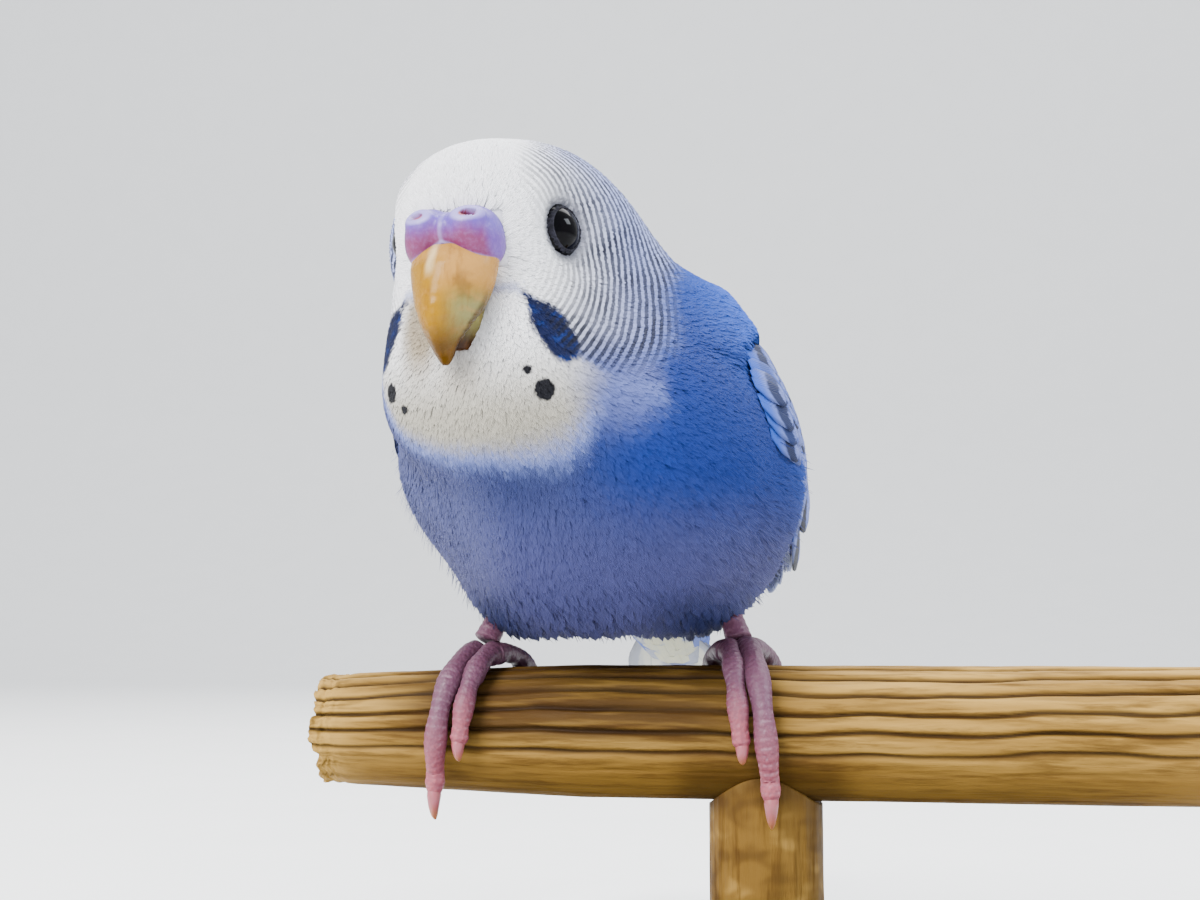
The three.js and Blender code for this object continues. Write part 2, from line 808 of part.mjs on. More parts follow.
// Legs and feet: two toes forward and two back, wrapped round the perch
// Each toe runs sideways from start to end, and stops at an angle round the bar
const TOES = [
  { start: 0.9, end: 3.8, spread: 0.5, stopDegrees: 119, girth: 1.2, length: 4.9 },
  { start: -1.0, end: 1.0, spread: 0.1, stopDegrees: 88, girth: 1.12, length: 3.0 },
  { start: -1.2, end: -4.4, spread: -0.8, stopDegrees: -96, girth: 1.05, length: 3.0 },
  { start: 1.0, end: 4.0, spread: 0.8, stopDegrees: -112, girth: 1.15, length: 3.6 },
];
const TOE_ROOT = 8;
const TOE_LIFT = 0.32;
const PAD_RADII = [2.4, 2.9, 1.35];
const ANKLE = [0.2, 1.8];
const LEG_TOP = { left: [11.6, 4.5, 11], right: [-9.6, 4.5, 11] };
const LEG_RADII = [1.4, 1.3, 1.3, 1.35, 1.6, 1.7];

function perchWrap(x, degrees, lift) {
  const angle = rad(degrees);
  const radius = perchRadius(x) + lift;
  return [x, -radius * Math.sin(angle), PERCH_AXIS + radius * Math.cos(angle)];
}

function toe(footX, { start, end, spread, stopDegrees, girth }) {
  const points = [];
  for (let i = 0; i <= 6; i += 1) {
    const t = i / 6;
    const x = footX + lerp(start, end, t ** 0.8) + spread * Math.sin(Math.PI * t);
    points.push(perchWrap(x, lerp(TOE_ROOT, stopDegrees, t), TOE_LIFT + 1.15 * girth));
  }
  const radii = [];
  const steps = 8;
  for (let i = 0; i <= steps; i += 1) {
    const t = i / steps;
    const joint = 0.1 * Math.cos(2 * Math.PI * 3 * t);
    radii.push(girth * (1.08 - 0.22 * t + joint) * (i === steps ? 0.6 : 1));
  }
  return taperTube(curveThrough(points), radii, 6, 0.95);
}

function claw(footX, { end, stopDegrees, girth, length }) {
  const x = footX + end;
  const sign = Math.sign(stopDegrees);
  const back = perchWrap(x, stopDegrees - 14 * sign, TOE_LIFT + girth);
  const root = perchWrap(x, stopDegrees, TOE_LIFT + 1.1 * girth);
  const middle = [x, root[1] - sign * 0.35, root[2] - 0.5 * length];
  const tip = [x, root[1] + sign * 0.3, root[2] - length];
  const radii = [0.62, 0.72, 0.55, 0.35, 0.12].map((r) => r * girth);
  return taperTube(curveThrough([back, root, middle, tip]), radii, 6);
}

function footToes(side) {
  const out = side === 'left' ? 1 : -1;
  const x = FOOT_SPOTS[side];
  return TOES.flatMap(({ start, end, spread, ...shape }) => {
    const turned = { ...shape, start: out * start, end: out * end, spread: out * spread };
    return [toe(x, turned), claw(x, turned)];
  });
}

function footPad(side, extra) {
  const x = FOOT_SPOTS[side];
  const height = perchRadius(x) - PERCH_RADIUS + TOE_LIFT + PAD_RADII[2];
  return ball([x, -0.6, height], PAD_RADII.map((r) => r + extra), 12);
}

function footSolid(side) {
  return fuse([footPad(side, 0), ...footToes(side)]);
}

function legSolid(side) {
  const foot = [FOOT_SPOTS[side], ...ANKLE];
  const shaft = toSolid(taperTube(curveThrough([foot, LEG_TOP[side]]), LEG_RADII, 12));
  return shaft.subtract(toSolid(footPad(side, GAP))).subtract(bodyAndGap);
}

// Stand
function discSolid() {
  const profile = [
    [0, 0],
    [BASE_RADIUS - BASE_EDGE / 2, 0],
    [BASE_RADIUS, BASE_EDGE / 2],
    [BASE_RADIUS, BASE_HEIGHT - BASE_EDGE],
    [BASE_RADIUS - BASE_EDGE, BASE_HEIGHT],
    [0, BASE_HEIGHT],
  ].map(([r, z]) => new THREE.Vector2(r, z));
  const geometry = new THREE.LatheGeometry(profile, 40);
  geometry.rotateX(Math.PI / 2);
  return toSolid(geometry);
}

function rodSolid() {
  const geometry = new THREE.CylinderGeometry(ROD_RADIUS, ROD_RADIUS, ROD_LENGTH, 20);
  geometry.rotateX(Math.PI / 2);
  geometry.translate(0, 0, BASE_HEIGHT + GAP + ROD_LENGTH / 2);
  return toSolid(geometry);
}

// Finishes
const white = finish(0xe9e7e4, 0.85);
const blue = finish(0x4a6cb4, 0.8);
const wingGrey = finish(0x8f9dbb, 0.75);
const pink = finish(0xb07090, 0.55);
const ochre = finish(0xbe963c, 0.45);
const skinPink = finish(0x9c7484, 0.6);
const eyeBlack = finish(0x0b0a0c, 0.08);
const timber = finish(0xaf8746, 0.75);
const satinBlack = finish(0x1c1c1e, 0.4);
const steel = finish(0xa8aaad, 0.3, 1);

// Assembly
const model = new THREE.Group();
const bird = new THREE.Group();
bird.position.set(BIRD_X, 0, PERCH_TOP);
model.add(bird);

const eyeSockets = [-1, 1].map((side) => toSolid(eyeBall(side, GAP)));
let headSolid = toSolid(bodyLength(NECK_END, 1, 0, GAP));
for (const side of [-1, 1]) headSolid = headSolid.add(toSolid(lid(side)));
for (const socket of eyeSockets) headSolid = headSolid.subtract(socket);
addNode(bird, 'head', headSolid, white);
addNode(bird, 'neck', toSolid(bodyLength(TORSO_END, NECK_END, 0, GAP)), white);
addNode(bird, 'torso', toSolid(bodyLength(0, TORSO_END, 0, 0)), blue);

addNode(bird, 'eye_left', toSolid(eyeBall(1, 0)), eyeBlack);
addNode(bird, 'eye_right', toSolid(eyeBall(-1, 0)), eyeBlack);

const upperAndGap = toSolid(upperBill(GAP));
addNode(bird, 'cere', cereWithNostrils().subtract(bodyAndGap), pink);
addNode(bird, 'bill_upper', toSolid(upperBill(0)).subtract(cereSolid(GAP)).subtract(bodyAndGap), ochre);
addNode(bird, 'bill_lower', toSolid(lowerBill()).subtract(upperAndGap).subtract(bodyAndGap), ochre);

addNode(bird, 'wing_left', wingSolid(1).subtract(bodyAndGap), wingGrey);
addNode(bird, 'wing_right', wingSolid(-1).subtract(bodyAndGap), wingGrey);
addNode(bird, 'tail', tailSolid().subtract(bodyAndGap), wingGrey);

for (const side of ['left', 'right']) {
  addNode(bird, `leg_${side}`, legSolid(side), skinPink);
  addNode(bird, `foot_${side}`, footSolid(side), skinPink);
}

addNode(bird, 'perch_bar', toSolid(perchBar(0, true)), timber);
addNode(bird, 'perch_post', perchPost(), timber);
addNode(model, 'stand_rod', rodSolid(), steel);
addNode(model, 'stand_base', discSolid(), satinBlack);

export default model;
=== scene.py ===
import math
from collections import namedtuple

import bpy
import numpy as np
from mathutils import Matrix, Vector


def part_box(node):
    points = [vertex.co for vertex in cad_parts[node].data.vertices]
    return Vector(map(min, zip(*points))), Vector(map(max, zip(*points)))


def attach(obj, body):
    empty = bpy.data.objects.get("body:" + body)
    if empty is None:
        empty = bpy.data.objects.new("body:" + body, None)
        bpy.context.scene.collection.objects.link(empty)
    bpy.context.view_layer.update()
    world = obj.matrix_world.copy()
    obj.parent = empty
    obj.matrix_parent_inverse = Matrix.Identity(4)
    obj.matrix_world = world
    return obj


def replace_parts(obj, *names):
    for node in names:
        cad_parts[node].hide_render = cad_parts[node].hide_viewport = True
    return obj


# A life-size budgerigar on a cut length of perch. Shapes are worked out in millimetres in the
# bird's own frame: the perch's top below the bird's middle is its origin, the bird faces -Y.

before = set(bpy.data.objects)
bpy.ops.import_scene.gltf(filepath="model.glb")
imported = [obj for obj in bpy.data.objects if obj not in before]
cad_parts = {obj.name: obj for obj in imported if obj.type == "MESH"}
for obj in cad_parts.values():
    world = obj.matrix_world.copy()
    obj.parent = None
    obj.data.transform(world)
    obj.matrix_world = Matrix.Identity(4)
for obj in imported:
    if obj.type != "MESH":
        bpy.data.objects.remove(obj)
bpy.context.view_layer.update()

MM = 0.001
BIRD_PLACE = np.array([-17.4, 0.0, 43.1])
SEED = 20

# Sizes of the bird, the same as the solids have
HEAD_CENTRE = np.array([-6.4, -18.5, 41.0])
HEAD_YAW = -12.0
EYE_CENTRE = np.array([5.75, -4.5, 0.8])
EYE_RADIUS = 3.3
EYE_AZIMUTH = 76.0
TAIL_ROOT = np.array([0.0, 49.0, 7.2])
TAIL_SLOPE = 17.5
TAIL_LENGTHS = [88, 76, 65, 55, 46, 38]
FOOT_SPOTS = {"left": 14.7, "right": -12.9}
NECK_BEND = {"y": 11.5, "z": 46.4, "radius": 24.5, "start": 20.0}

# Sizes of the perch and stand
PERCH_RADIUS = 7.1
PERCH_END_RADIUS = 6.0
PERCH_START = -31.6
PERCH_LENGTH = 98.0
POST_RADIUS = 6.0
GAP = 0.3


def lerp(a, b, t):
    return a + (b - a) * t


def smooth(low, high, x):
    """Rises from 0 to 1 between low and high, or falls when high lies below low"""
    t = np.clip((x - low) / (high - low), 0, 1)
    return t * t * (3 - 2 * t)


def angles_round(count):
    """Evenly spaced angles round a full turn"""
    return np.linspace(0, 2 * np.pi, count, endpoint=False)


def run_along(line):
    """Length of a line from its start to each of its points"""
    return np.concatenate([[0], np.cumsum(np.linalg.norm(np.diff(line, axis=0), axis=1))])


def unit(v):
    return v / np.maximum(np.linalg.norm(v, axis=-1, keepdims=True), 1e-9)


def turn_z(p, degrees):
    a = math.radians(degrees)
    c, s = math.cos(a), math.sin(a)
    return np.stack([c * p[..., 0] - s * p[..., 1], s * p[..., 0] + c * p[..., 1], p[..., 2]], -1)


def to_head(p):
    return turn_z(p - HEAD_CENTRE, -HEAD_YAW)


def from_head(h):
    return turn_z(np.asarray(h, float), HEAD_YAW) + HEAD_CENTRE


def mirrored(p):
    return np.stack([np.abs(p[..., 0]), p[..., 1], p[..., 2]], -1)


# Body surface, as a distance that is below zero inside

def blend(a, b, reach):
    """Joins two fields with a soft seam"""
    h = np.clip(0.5 + 0.5 * (b - a) / reach, 0, 1)
    return b + (a - b) * h - reach * h * (1 - h)


def carve(a, b, reach):
    """Takes one field out of another with a soft edge"""
    return -blend(-a, b, reach)


def blob(p, centre, radii, pitch=0.0):
    """Distance to an ellipsoid, pitched round its own middle"""
    q = p - np.array(centre, float)
    if pitch:
        a = math.radians(-pitch)
        c, s = math.cos(a), math.sin(a)
        q = np.stack([q[..., 0], c * q[..., 1] - s * q[..., 2], s * q[..., 1] + c * q[..., 2]], -1)
    r = np.array(radii, float)
    near = np.linalg.norm(q / r, axis=-1)
    steep = np.linalg.norm(q / (r * r), axis=-1)
    return near * (near - 1) / np.maximum(steep, 1e-9)


def torso_field(p):
    """Breast, belly, rump and thighs"""
    d = blob(p, [0, -5, 20.8], [20.4, 22, 17.8], -20)
    d = blend(d, blob(p, [0, 12, 22], [17.5, 25, 16.5], -24), 6)
    d = blend(d, blob(p, [0, 33, 13.6], [8.5, 21, 6.6], -22), 8)
    return blend(d, blob(mirrored(p), [9.5, 2, 9], [6, 8, 6], -10), 5)


eye_angle = math.radians(EYE_AZIMUTH)
EYE_AXIS = unit(np.array([math.sin(eye_angle), -math.cos(eye_angle), 0.06]))
HOLLOW_CENTRE = EYE_CENTRE + 8.7 * EYE_AXIS
HOLLOW_RADIUS = 7.0


def head_field(h):
    """Skull, face, cheeks, throat and nape, with hollows for the eyes"""
    both = mirrored(h)
    d = blob(h, [-1.2, 3, 2.0], [12.4, 12, 10.4])
    d = blend(d, blob(h, [-0.4, -6, 1.6], [9.0, 7.2, 8]), 4)
    d = blend(d, blob(both, [4.6, -2, -7.5], [6, 8.5, 7.5]), 4)
    d = blend(d, blob(h, [0, -3.5, -15], [11.1, 9, 8.4]), 5)
    d = blend(d, blob(h, [2.4, 9.5, -4.5], [11.6, 9.5, 10.5]), 6)
    return carve(d, np.linalg.norm(both - HOLLOW_CENTRE, axis=-1) - HOLLOW_RADIUS, 1.5)


def body_field(p):
    """Distance to the feathered body's surface, below zero inside it"""
    trunk = blend(torso_field(p), blob(p, [-2.5, -6, 33.5], [14, 13, 11.5]), 6)
    return blend(trunk, head_field(to_head(p)), 3.5)


def normal_of(p):
    steps = 0.05 * np.eye(3)
    return unit(np.stack([body_field(p + s) - body_field(p - s) for s in steps], -1))


def settle(p, level):
    """Moves places along the normal until they lie at a level over the body"""
    for _ in range(2):
        p = p - normal_of(p) * (body_field(p) - level)[..., None]
    return p


def reach_out(origins, directions, field, rounds=40):
    """Distance from each origin to a field's surface in each direction"""
    r = np.zeros(np.broadcast_shapes(origins.shape[:-1], directions.shape[:-1]))
    for _ in range(rounds):
        r = r - 0.9 * field(origins + r[..., None] * directions)
    return r


def value_noise(*axes, seed=0):
    """Smooth repeatable noise between -1 and 1 from a few crossed waves"""
    total = 0.0
    for k, scale in enumerate((1.0, 1.93, 3.71)):
        part = 0.0
        for m, axis in enumerate(axes):
            part = part + np.sin(axis * scale * (1 + 0.37 * m) + 1.7 * k + 2.3 * m + seed)
        total = total + np.sin(part * 1.9 + k) / (1 + k)
    return total / 1.83


# Meshes from arrays

def make_object(name, points, faces, material, slot=None, in_bird=True, body="root"):
    """Mesh object from points in millimetres"""
    points = np.asarray(points, float).reshape(-1, 3)
    faces = np.asarray(faces, np.int32)
    if in_bird:
        points = points + BIRD_PLACE
    mesh = bpy.data.meshes.new(name)
    mesh.vertices.add(len(points))
    mesh.vertices.foreach_set("co", (points * MM).astype(np.float32).ravel())
    mesh.loops.add(faces.size)
    mesh.loops.foreach_set("vertex_index", faces.ravel())
    mesh.polygons.add(len(faces))
    mesh.polygons.foreach_set("loop_start", np.arange(0, faces.size, faces.shape[1], dtype=np.int32))
    mesh.update(calc_edges=True)
    mesh.shade_smooth()
    mesh.materials.append(material)
    made = bpy.data.objects.new(name, mesh)
    bpy.context.scene.collection.objects.link(made)
    if body:
        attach(made, body)
    return made


def set_values(made, name, values):
    """Gives each point of a mesh its vector or colour under a name"""
    kind = "FLOAT_VECTOR" if values.shape[-1] == 3 else "FLOAT_COLOR"
    layer = made.data.attributes.new(name, kind, "POINT")
    key = "vector" if kind == "FLOAT_VECTOR" else "color"
    layer.data.foreach_set(key, np.asarray(values, np.float32).ravel())


def within_map(uv):
    """Places from 0 to 1, drawn in from the map's edges"""
    return uv * 0.96 + 0.02


def set_bake_map(made, uv):
    layer = made.data.uv_layers.new(name="OFBake")
    corner = np.zeros(len(made.data.loops), np.int32)
    made.data.loops.foreach_get("vertex_index", corner)
    layer.data.foreach_set("uv", uv[corner].astype(np.float32).ravel())


def grid_faces(rows, columns, closed=False):
    i = np.arange(rows - 1)[:, None]
    j = np.arange(columns if closed else columns - 1)[None, :]
    a = i * columns + j
    b = i * columns + (j + 1) % columns
    c, d = a + columns, b + columns
    return np.stack([a, b, d, a, d, c], -1).reshape(-1, 3)


def tube_faces(rows, columns):
    """Faces of a tube of closed rings; the points of its two ends follow those of the rings"""
    faces = grid_faces(rows, columns, closed=True)
    j = np.arange(columns)
    k = (j + 1) % columns
    first, tail = rows * columns, (rows - 1) * columns
    start = np.stack([np.full(columns, first), k, j], -1)
    end = np.stack([np.full(columns, first + 1), tail + j, tail + k], -1)
    return np.vstack([faces, start, end])


def tube_object(name, rings, material, slot=None, **more):
    """Closed body through an array of rings, rows by columns by 3"""
    rows, columns = rings.shape[:2]
    points = np.vstack([rings.reshape(-1, 3), rings[0].mean(0), rings[-1].mean(0)])
    faces = tube_faces(rows, columns)
    centre = rings[rows // 2].mean(0)
    side = rings[rows // 2, 0] - centre
    along = rings[rows // 2 + 1].mean(0) - centre
    turn = np.cross(side, rings[rows // 2, columns // 4] - centre) @ along
    if turn > 0:
        faces = faces[:, ::-1]
    return make_object(name, points, faces, material, slot, **more)


def ease_values(made, name, values):
    """Values for a tube's rings, with the two end points given those of the nearest ring"""
    flat = np.vstack([values.reshape(-1, values.shape[-1]), values[0, :1], values[-1, :1]])
    set_values(made, name, flat)


def opaque(colour):
    """Colours with an alpha of one"""
    return np.concatenate([colour, np.ones(colour.shape[:-1] + (1,))], -1)


def give_tint(piece, colour):
    """Colours for the points of a tube, as its tint"""
    ease_values(piece, "tint", opaque(colour))


# Materials

def srgb(red, green, blue):
    c = np.array([red, green, blue], float) / 255
    low = c / 12.92
    high = ((c + 0.055) / 1.055) ** 2.4
    return tuple(np.where(c <= 0.04045, low, high)) + (1.0,)


def rgb(red, green, blue):
    return np.array(srgb(red, green, blue)[:3])


class Look:
    """Node material with one Principled shader"""

    def __init__(self, name, **sockets):
        self.material = bpy.data.materials.new(name)
        self.material.use_nodes = True
        self.tree = self.material.node_tree
        self.tree.nodes.clear()
        self.shader = self.node("ShaderNodeBsdfPrincipled")
        for socket, value in sockets.items():
            self.shader.inputs[socket.replace("_", " ")].default_value = value
        out = self.node("ShaderNodeOutputMaterial")
        self.link(self.shader.outputs[0], out.inputs[0])

    def node(self, kind, **settings):
        made = self.tree.nodes.new(kind)
        for key, value in settings.items():
            setattr(made, key, value)
        return made

    def link(self, source, target):
        self.tree.links.new(source, target)

    def feed(self, target, value):
        if isinstance(value, bpy.types.NodeSocket):
            self.link(value, target)
        else:
            target.default_value = value

    def attribute(self, name, output="Color"):
        made = self.node("ShaderNodeAttribute", attribute_name=name)
        return made.outputs[output]

    def parts(self, name):
        """The three numbers that the mesh carries under a name"""
        made = self.node("ShaderNodeSeparateXYZ")
        self.link(self.attribute(name, "Vector"), made.inputs[0])
        return tuple(made.outputs)

    def math(self, operation, a, b=0.0):
        made = self.node("ShaderNodeMath", operation=operation)
        for socket, value in zip(made.inputs, (a, b)):
            self.feed(socket, value)
        return made.outputs[0]

    def plus(self, a, b):
        return self.math("ADD", a, b)

    def minus(self, a, b):
        return self.math("SUBTRACT", a, b)

    def times(self, a, b):
        return self.math("MULTIPLY", a, b)

    def span(self, value, low, high, start=0.0, end=1.0):
        made = self.node("ShaderNodeMapRange", interpolation_type="SMOOTHSTEP")
        for socket, given in zip(made.inputs, (value, low, high, start, end)):
            self.feed(socket, given)
        return made.outputs[0]

    def mix(self, factor, a, b, kind="MIX"):
        made = self.node("ShaderNodeMix", data_type="RGBA", blend_type=kind)
        self.feed(made.inputs["Factor"], factor)
        self.feed(made.inputs[6], a)
        self.feed(made.inputs[7], b)
        return made.outputs[2]

    def place(self):
        return self.node("ShaderNodeTexCoord").outputs["Object"]

    def stretched(self, scale):
        made = self.node("ShaderNodeMapping")
        made.inputs["Scale"].default_value = scale
        self.link(self.place(), made.inputs["Vector"])
        return made.outputs[0]

    def noise(self, scale, detail=3.0, vector=None, rough=0.55):
        made = self.node("ShaderNodeTexNoise")
        made.inputs["Scale"].default_value = scale
        made.inputs["Detail"].default_value = detail
        made.inputs["Roughness"].default_value = rough
        self.link(vector or self.place(), made.inputs["Vector"])
        return made.outputs["Fac"]

    def voronoi(self, scale):
        made = self.node("ShaderNodeTexVoronoi")
        made.inputs["Scale"].default_value = scale
        self.link(self.place(), made.inputs["Vector"])
        return made.outputs["Distance"]

    def flecked(self, base, *layers):
        """Base with flecks over it: each its noise, where it starts and is full, its share and colour"""
        for noise, low, high, share, colour in layers:
            base = self.mix(self.span(noise, low, high, 0.0, share), base, srgb(*colour))
        return base

    def shaded(self, base, shade):
        """Base made darker or lighter by a number"""
        grey = self.node("ShaderNodeCombineColor")
        for socket in grey.inputs:
            self.link(shade, socket)
        return self.mix(1.0, base, grey.outputs[0], "MULTIPLY")

    def colour(self, value):
        self.feed(self.shader.inputs["Base Color"], value)

    def roughness(self, value):
        self.feed(self.shader.inputs["Roughness"], value)

    def bump(self, height, distance, strength=1.0):
        made = self.node("ShaderNodeBump")
        made.inputs["Strength"].default_value = strength
        made.inputs["Distance"].default_value = distance
        self.link(height, made.inputs["Height"])
        self.link(made.outputs[0], self.shader.inputs["Normal"])


# Throat spots, by place in the head's frame
SPOT_BLACK = srgb(16, 16, 22)
SPOTS = [
    {"centre": (8.1, -9.8, -15.2), "radius": 1.0},
    {"centre": (6.8, -10.8, -13.4), "radius": 0.42},
    {"centre": (-7.8, -10.1, -14.8), "radius": 0.95},
    {"centre": (-5.9, -10.9, -16.6), "radius": 0.45},
]


def draw_spots(look, base):
    """Black throat spots, drawn at their places on the head"""
    place = look.attribute("face", "Vector")
    frayed = look.times(look.minus(look.noise(2600.0, 2.0), 0.5), 0.5)
    for spot in SPOTS:
        far = look.node("ShaderNodeVectorMath", operation="DISTANCE")
        look.link(place, far.inputs[0])
        far.inputs[1].default_value = spot["centre"]
        off = look.plus(far.outputs["Value"], frayed)
        inside = look.span(off, spot["radius"] - 0.12, spot["radius"] + 0.18, 1.0, 0.0)
        base = look.mix(inside, base, SPOT_BLACK)
    return base


def plumage_look(name):
    """Small body feathers: colour and bars come with the mesh, barbs are drawn here"""
    look = Look(name, Roughness=0.75, Specular_IOR_Level=0.12, Sheen_Weight=0.04)
    phase, strength, chance = look.parts("marks")
    across, along, _ = look.parts("barbs")
    waver = look.times(look.noise(300.0, 2.0), 0.5)
    wave = look.math("SINE", look.times(look.plus(phase, waver), 2 * math.pi))
    bar = look.times(look.span(wave, -0.4, 0.2), strength)
    base = look.attribute("plume")
    dark = look.mix(0.96, base, srgb(10, 12, 28))
    barred = draw_spots(look, look.mix(bar, base, dark))
    fan = look.plus(look.times(across, 46.0), look.times(along, 2.4))
    rib = look.math("SINE", look.plus(fan, look.times(chance, 40.0)))
    shade = look.span(rib, -1.0, 1.0, 0.86, 1.06)
    look.colour(look.shaded(barred, shade))
    look.bump(rib, 0.00005, 0.6)
    return look.material


def skin_look(name):
    """Skin under the plumage, in the plumage's own colours and a little darker"""
    look = Look(name, Roughness=0.85, Specular_IOR_Level=0.1)
    phase, strength, _ = look.parts("marks")
    wave = look.math("SINE", look.times(phase, 2 * math.pi))
    bar = look.times(look.span(wave, -0.15, 0.55), strength)
    base = look.attribute("plume")
    barred = look.mix(bar, base, srgb(52, 54, 74))
    mottle = look.noise(900.0, 4.0)
    look.colour(look.mix(look.times(mottle, 0.5), barred, srgb(70, 78, 110)))
    look.bump(mottle, 0.0001)
    return look.material


Vane = namedtuple("Vane", "across side along chance under split")


def vane_look(name, pattern, roughness=0.5):
    """Large feathers: barbs run out from the shaft at a slant"""
    look = Look(name, Roughness=roughness, Specular_IOR_Level=0.15, Sheen_Weight=0.02)
    across, along, chance = look.parts("vane")
    size, under, blue = look.parts("vane_kind")
    side = look.math("ABSOLUTE", across)
    slant = look.minus(look.times(along, size), look.times(side, 2.2))
    barb = look.math("SINE", look.times(slant, 17.0))
    split = look.noise(6.0, 3.0, look.attribute("vane", "Vector"))
    colour = pattern(look, Vane(across, side, along, chance, under, split))
    colour = look.mix(blue, colour, srgb(44, 76, 160))
    shade = look.span(barb, -1.0, 1.0, 0.86, 1.05)
    look.colour(look.shaded(colour, shade))
    shaft = look.span(side, 0.0, 0.07, 1.0, 0.0)
    look.bump(look.plus(look.times(barb, 0.3), shaft), 0.00006, 0.8)
    return look.material


def covert_paint(look, vane):
    """Pale feather with a dark crescent inside a pale rim"""
    tip = look.minus(vane.along, look.times(look.math("POWER", vane.side, 2.0), 0.16))
    tip = look.plus(tip, look.times(look.minus(vane.split, 0.5), 0.16))
    tip = look.plus(tip, look.times(look.minus(vane.chance, 0.5), 0.12))
    pale = look.mix(look.span(vane.chance, 0.0, 1.0), srgb(104, 116, 172), srgb(66, 84, 150))
    blue = look.mix(look.span(vane.along, 0.15, 0.6), srgb(36, 76, 172), pale)
    rim = look.span(tip, 0.86, 0.78)
    dark = look.times(look.span(tip, 0.36, 0.5), rim)
    side_dark = look.times(look.span(vane.side, 0.55, 0.9), look.span(vane.along, 0.9, 0.6))
    dark = look.math("MAXIMUM", dark, look.times(side_dark, 0.35))
    every = look.math("FRACT", look.times(vane.chance, 7.3))
    dark = look.times(dark, look.span(every, 0.1, 0.5, 0.25, 1.0))
    painted = look.mix(dark, blue, srgb(18, 20, 34))
    return look.mix(look.span(tip, 0.88, 0.97), painted, srgb(118, 128, 180))


def flight_paint(look, vane):
    """Dark grey flight feather, bluish on its outer web, with a pale outer rim"""
    web = look.span(vane.across, -0.1, 0.5)
    base = look.mix(web, srgb(26, 28, 40), srgb(38, 50, 92))
    base = look.mix(look.times(vane.split, 0.35), base, srgb(22, 23, 32))
    rim = look.span(vane.across, 0.80, 0.95)
    tip = look.span(vane.along, 0.95, 0.995)
    pale = look.math("MAXIMUM", rim, look.times(tip, 0.25))
    base = look.mix(pale, base, srgb(132, 144, 186))
    shaft = look.span(vane.side, 0.0, 0.05, 1.0, 0.0)
    base = look.mix(look.times(shaft, 0.7), base, srgb(28, 28, 36))
    return look.mix(look.times(vane.under, 0.6), base, srgb(70, 78, 112))


def tail_paint(look, vane):
    """Tail feather: blue, with a pale yellowish middle on all but the long middle pair"""
    edge = look.plus(vane.side, look.times(look.minus(vane.split, 0.5), 0.4))
    base = look.mix(look.span(edge, 0.2, 0.95), srgb(28, 52, 112), srgb(20, 32, 74))
    stripe = look.span(edge, 0.65, 0.25)
    reach = look.times(look.span(vane.along, 0.05, 0.25), look.span(vane.along, 0.97, 0.8))
    pale = look.times(look.times(stripe, reach), vane.chance)
    base = look.mix(pale, base, srgb(206, 202, 162))
    shaft = look.span(vane.side, 0.0, 0.06, 1.0, 0.0)
    base = look.mix(look.times(shaft, 0.5), base, srgb(30, 34, 52))
    return look.mix(look.times(vane.under, 0.5), base, srgb(168, 172, 176))


def cere_look():
    look = Look("cere", Roughness=0.4, Specular_IOR_Level=0.25, Subsurface_Weight=0.05,
                Subsurface_Scale=0.001, Subsurface_Radius=(1.0, 0.4, 0.5), Coat_Weight=0.06)
    pores = look.noise(2600.0, 3.0)
    fine = look.voronoi(3800.0)
    look.colour(look.flecked(look.attribute("tint"), (pores, 0.4, 0.75, 0.14, (150, 116, 180))))
    look.bump(look.plus(pores, look.times(fine, 0.5)), 0.00006, 0.5)
    return look.material


def bill_look():
    look = Look("bill", Roughness=0.3, Specular_IOR_Level=0.1, Subsurface_Weight=0.02,
                Subsurface_Scale=0.001, Subsurface_Radius=(1.0, 0.6, 0.3), Coat_Weight=0.04)
    streaks = look.noise(900.0, 4.0, look.stretched((1.6, 1.6, 0.35)))
    flakes = look.noise(1500.0, 5.0)
    look.colour(look.flecked(look.attribute("tint"), (streaks, 0.45, 0.75, 0.4, (104, 64, 8)),
                             (flakes, 0.62, 0.8, 0.12, (178, 138, 66))))
    look.roughness(look.span(flakes, 0.3, 0.8, 0.2, 0.42))
    look.bump(look.plus(streaks, look.times(flakes, 0.5)), 0.0001, 0.5)
    return look.material


def eye_look():
    look = Look("eye", Roughness=0.04, IOR=1.38, Specular_IOR_Level=0.1)
    depth = look.noise(500.0, 2.0)
    look.colour(look.mix(look.span(depth, 0.3, 0.8), srgb(1, 1, 3), srgb(6, 4, 6)))
    return look.material


def lid_look():
    look = Look("eyelid", Roughness=0.8, Specular_IOR_Level=0.15)
    grain = look.noise(3000.0, 3.0)
    look.colour(look.mix(look.span(grain, 0.3, 0.75), srgb(20, 20, 26), srgb(42, 41, 51)))
    look.bump(grain, 0.00008, 0.7)
    return look.material


def foot_look():
    look = Look("foot_skin", Roughness=0.5, Specular_IOR_Level=0.3, Subsurface_Weight=0.08,
                Subsurface_Scale=0.001, Subsurface_Radius=(1.0, 0.4, 0.35))
    cells = look.voronoi(2600.0)
    grain = look.noise(3500.0, 3.0)
    look.colour(look.flecked(look.attribute("tint"), (cells, 0.3, 0.75, 0.28, (84, 48, 68)),
                             (grain, 0.55, 0.8, 0.22, (160, 128, 142))))
    look.bump(look.minus(look.times(grain, 0.5), cells), 0.00009, 0.7)
    return look.material


def claw_look():
    look = Look("claw", Roughness=0.35, Subsurface_Weight=0.2, Subsurface_Scale=0.001)
    streaks = look.noise(1800.0, 3.0, look.stretched((2.0, 2.0, 0.4)))
    look.colour(look.flecked(look.attribute("tint"), (streaks, 0.45, 0.8, 0.4, (120, 84, 66))))
    look.bump(streaks, 0.00005, 0.5)
    return look.material


